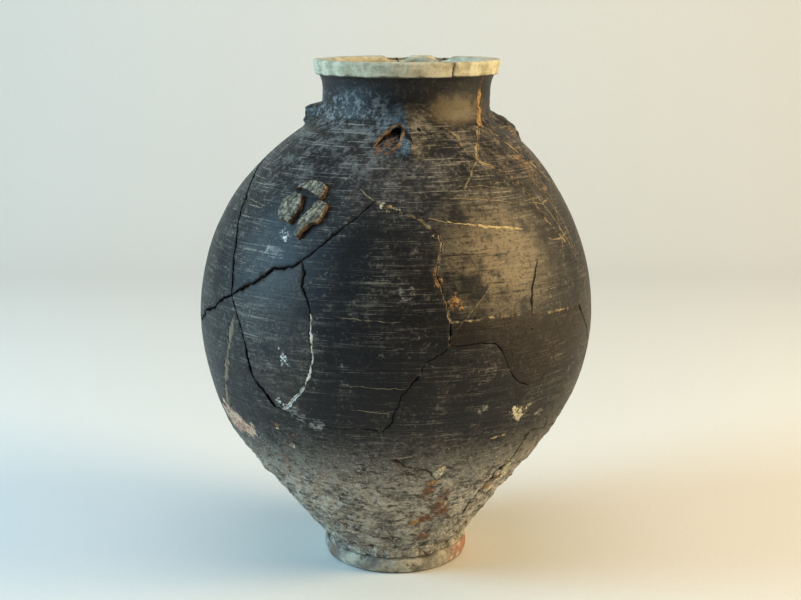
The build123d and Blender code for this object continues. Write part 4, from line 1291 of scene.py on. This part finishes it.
def mix_rim_slip():
    """Pale buff slip on the rim: wiped streaks, brown specks, a painted shadow along its lower edge, and painted shade
    with dirt in its breaks.
    """
    clay = Finish("rim_slip")
    mottle = clay.noise(10, detail=5, roughness=0.64)
    wipe = clay.noise(22, stretch=(1, 1, 8), detail=4, shift=3)
    grain = clay.noise(1.9, detail=4, shift=4)
    colour = clay.coats(
        clay.blend(mottle, 0.34, 0.64, (156, 147, 118), (202, 194, 166)),
        (wipe, 0.52, 0.66, 0.5, (206, 200, 176)),
        (grain, 0.6, 0.7, 0.6, (100, 84, 62)),
        (mottle, 0.36, 0.26, 0.8, (88, 72, 52)),
        # Painted shadow along the rim's lower edge
        (clay.z + (mottle - 0.5) * 4 - RIM_BOTTOM, 1.4, 0.2, 0.85, (58, 47, 36)),
    )
    # Painted shade with dirt at the broken ends
    colour = clay.mix(clay.mask("crack"), colour, tone(32, 26, 20))
    return clay.done(colour, 0.68 + mottle * 0.15, grain * 0.35 + mottle * 0.5 + wipe * 0.3)


def mix_stump_clay():
    """Broken stumps: pale weathered tops in layers that run down to the left, and brown broken sides."""
    clay = Finish("stump_clay")
    mottle = clay.noise(5, detail=5, roughness=0.7)
    grain = clay.noise(1.6, detail=4, shift=4)
    layers = (clay.x * 0.76 - clay.z * 0.65) * 2.2 + mottle * 9
    layers = clay.between(layers.maths("SINE", layers), 0.1, 0.9)
    sides = clay.blend(mottle, 0.38, 0.62, (52, 39, 30), (120, 86, 58))
    tops = clay.blend(mottle, 0.38, 0.62, (80, 77, 66), (170, 163, 138))
    tops = clay.mix(layers * 0.5, tops, tone(84, 64, 46))
    tops = clay.coats(tops, (grain, 0.48, 0.38, 0.85, (40, 36, 31)))
    colour = clay.coats(sides, (clay.mask("top") + (grain - 0.5) * 1.2, 0.3, 0.7, 1, tops))
    return clay.done(colour, 0.78 + mottle * 0.1, grain * 0.8 + mottle * 1.6 - layers * 0.6)


def mix_filler(name, dark, light):
    """Crumbly filler pressed into a crack, between two tones, darkened just under the rim as painted shade."""
    clay = Finish(name)
    mottle = clay.noise(5, detail=4, roughness=0.65)
    grain = clay.noise(1.2, detail=3, shift=4)
    colour = clay.coats(
        clay.blend(mottle, 0.3, 0.7, dark, light),
        (grain + mottle, 0.92, 0.76, 0.85, (52, 42, 33)),
        # Painted shade under the rim
        (clay.z + mottle * 8, 368, 375, 0.9, (40, 35, 31)),
    )
    return clay.done(colour, 0.82 + mottle * 0.1, grain * 0.6 + mottle * 1.0)


# Sherds that look lighter or darker than the rest
SHERD_TONES = {"belly_band": -1.0, "belly_shield": 0.35, "shoulder_right": 0.3, "belly_left": 0.2, "belly_right": 0.1,
               "shoulder_far_right": 0.35, "shoulder_wedge": 0.45}

grey_ware = mix_grey_ware()
worn_foot = mix_foot_ware()
rim_slip = mix_rim_slip()
stump_clay = mix_stump_clay()

for number, (name, edges) in enumerate(SHERDS.items()):
    slot = "worn_ware" if name.startswith("lower") else "grey_ware"
    make_sherd(name, edges, grey_ware, 200 + number, SHERD_TONES.get(name, 0.0))

neck_heights = np.linspace(NECK_HEIGHTS[0], RIM_BOTTOM, BAND_POINTS)
neck_skin = np.stack([neck_outer(neck_heights), neck_heights], axis=1)
neck_lining = np.stack([np.full(BAND_POINTS, NECK_BORE), neck_heights[::-1]], axis=1)
half_fill = np.degrees(NECK_FILL / 2 / NECK_RADIUS)
first, second = NECK_BREAKS
for name, start, end, seeds, drifts in (("neck_front", second - 360, first - half_fill, (42, 43), (0, NECK_DRIFT)),
                                        ("neck_back", first + half_fill, second, (44, 42), (NECK_DRIFT, 0))):
    make_band(name, start, end, neck_skin, neck_lining, neck_relief, grey_ware, 0.8, seeds, drifts)
ochre_fill = mix_filler("ochre_fill", (110, 76, 42), (178, 144, 92))
lap = FILL_LAP * half_fill
make_band("fill_neck", first - lap, first + lap, neck_skin, neck_lining, filler_relief, ochre_fill, 1.4,
          (45, 46), (NECK_DRIFT, NECK_DRIFT))

rim_skin = spaced(RIM_OUTER, RIM_POINTS) + [0, RIM_BOTTOM]
rim_lining = spaced(RIM_INNER, RIM_POINTS) + [0, RIM_BOTTOM]
front, back_right, back_left = RIM_BREAKS
for name, start, end, seeds in (("rim_left", back_left - 360, front, (54, 52)),
                                ("rim_right", front, back_right, (52, 53)),
                                ("rim_back", back_right, back_left, (53, 54))):
    make_band(name, start, end, rim_skin, rim_lining, rim_relief, rim_slip, 0.7, seeds)

foot_skin = spaced([(46.5, 0), (FOOT_RADIUS - 4, 0), (FOOT_RADIUS - 2.2, 1.2), (FOOT_RADIUS - 0.4, 4.5),
                    (FOOT_RADIUS, 8), (FOOT_RADIUS - 0.2, 11), (FOOT_RADIUS - 1.5, 13.4), (46, FOOT_HEIGHT)],
                   BAND_POINTS)
foot_lining = spaced([(45.5, FOOT_HEIGHT), (FOOT_BORE + 1.5, FOOT_HEIGHT), (FOOT_BORE, FOOT_HEIGHT - 1.5),
                      (FOOT_BORE, 2), (FOOT_BORE + 2, 0), (46, 0)], BAND_POINTS)
make_band("foot_ring", 0, 360, foot_skin, foot_lining, foot_relief, worn_foot)
make_floor("floor_slab", worn_foot)

for number, name in enumerate(LUGS):
    lug = make_lug(name, grey_ware, 60 + 2 * number)
    if name == "lug_front":
        bore_cord_hole(lug)
for number, name in enumerate(STUMPS):
    make_stump(name, stump_clay, 70 + 3 * number)
for name, line, proud, dark, light, seed in (("brown", "brown_crack", 0.1, (78, 66, 52), (132, 116, 94), 81),
                                             ("white", "white_crack", 0.0, (176, 168, 150), (222, 216, 200), 84)):
    slot = name + "_fill"
    make_wall_fill("fill_" + name, line, proud, mix_filler(slot, dark, light), seed)


def make_sweep():
    """Floor and backdrop in one sheet: a floor line that turns up into a wall through a wide arc, carried along X."""
    turn = np.linspace(0, np.pi / 2, 40)
    arc = np.stack([SWEEP_BACK + SWEEP_ARC * np.sin(turn), SWEEP_ARC * (1 - np.cos(turn))], axis=1)
    line = np.concatenate([[[SWEEP_FRONT, 0]], arc, [[SWEEP_BACK + SWEEP_ARC, SWEEP_TOP]]])
    side = np.linspace(-SWEEP_SIDE, SWEEP_SIDE, 20)
    points = np.stack(np.broadcast_arrays(side[:, None], line[:, 0], line[:, 1]), axis=-1)
    mesh = new_mesh("sweep", points / MM, grid_faces(*points.shape[:2]))
    shade_smooth(mesh)
    paper = Finish("sweep_paper")
    fibre = paper.noise(4, detail=3)
    mesh.materials.append(paper.done(paper.mix(fibre, tone(224, 222, 216), tone(230, 228, 222)), 0.9, fibre * 0.1))
    sweep = add_object("sweep", mesh)


def hang_lamp(name, place, size, power, colour):
    """A soft square lamp at a place, turned towards the jar."""
    light = bpy.data.lights.new(name, "AREA")
    light.size = size
    light.energy = power
    light.color = colour
    lamp = add_object(name, light)
    lamp.location = place
    lamp.rotation_euler = (Vector(LAMP_AIM) - Vector(place)).to_track_quat("-Z", "Y").to_euler()


make_sweep()
for name, look in LAMPS.items():
    hang_lamp(name, *look)
world = bpy.data.worlds.new("studio")
world.use_nodes = True
background = world.node_tree.nodes["Background"]
background.inputs["Color"].default_value = (1, 1, 1, 1)
background.inputs["Strength"].default_value = WORLD_LIGHT
bpy.context.scene.world = world

camera = bpy.data.cameras.new("camera")
camera.lens = CAMERA_LENS
camera.sensor_width = CAMERA_SENSOR
eye = add_object("camera", camera)
eye.location = CAMERA_PLACE
eye.rotation_euler = (np.radians(90 - CAMERA_PITCH), 0, 0)
bpy.context.scene.camera = eye
bpy.context.scene.view_settings.view_transform = "Standard"
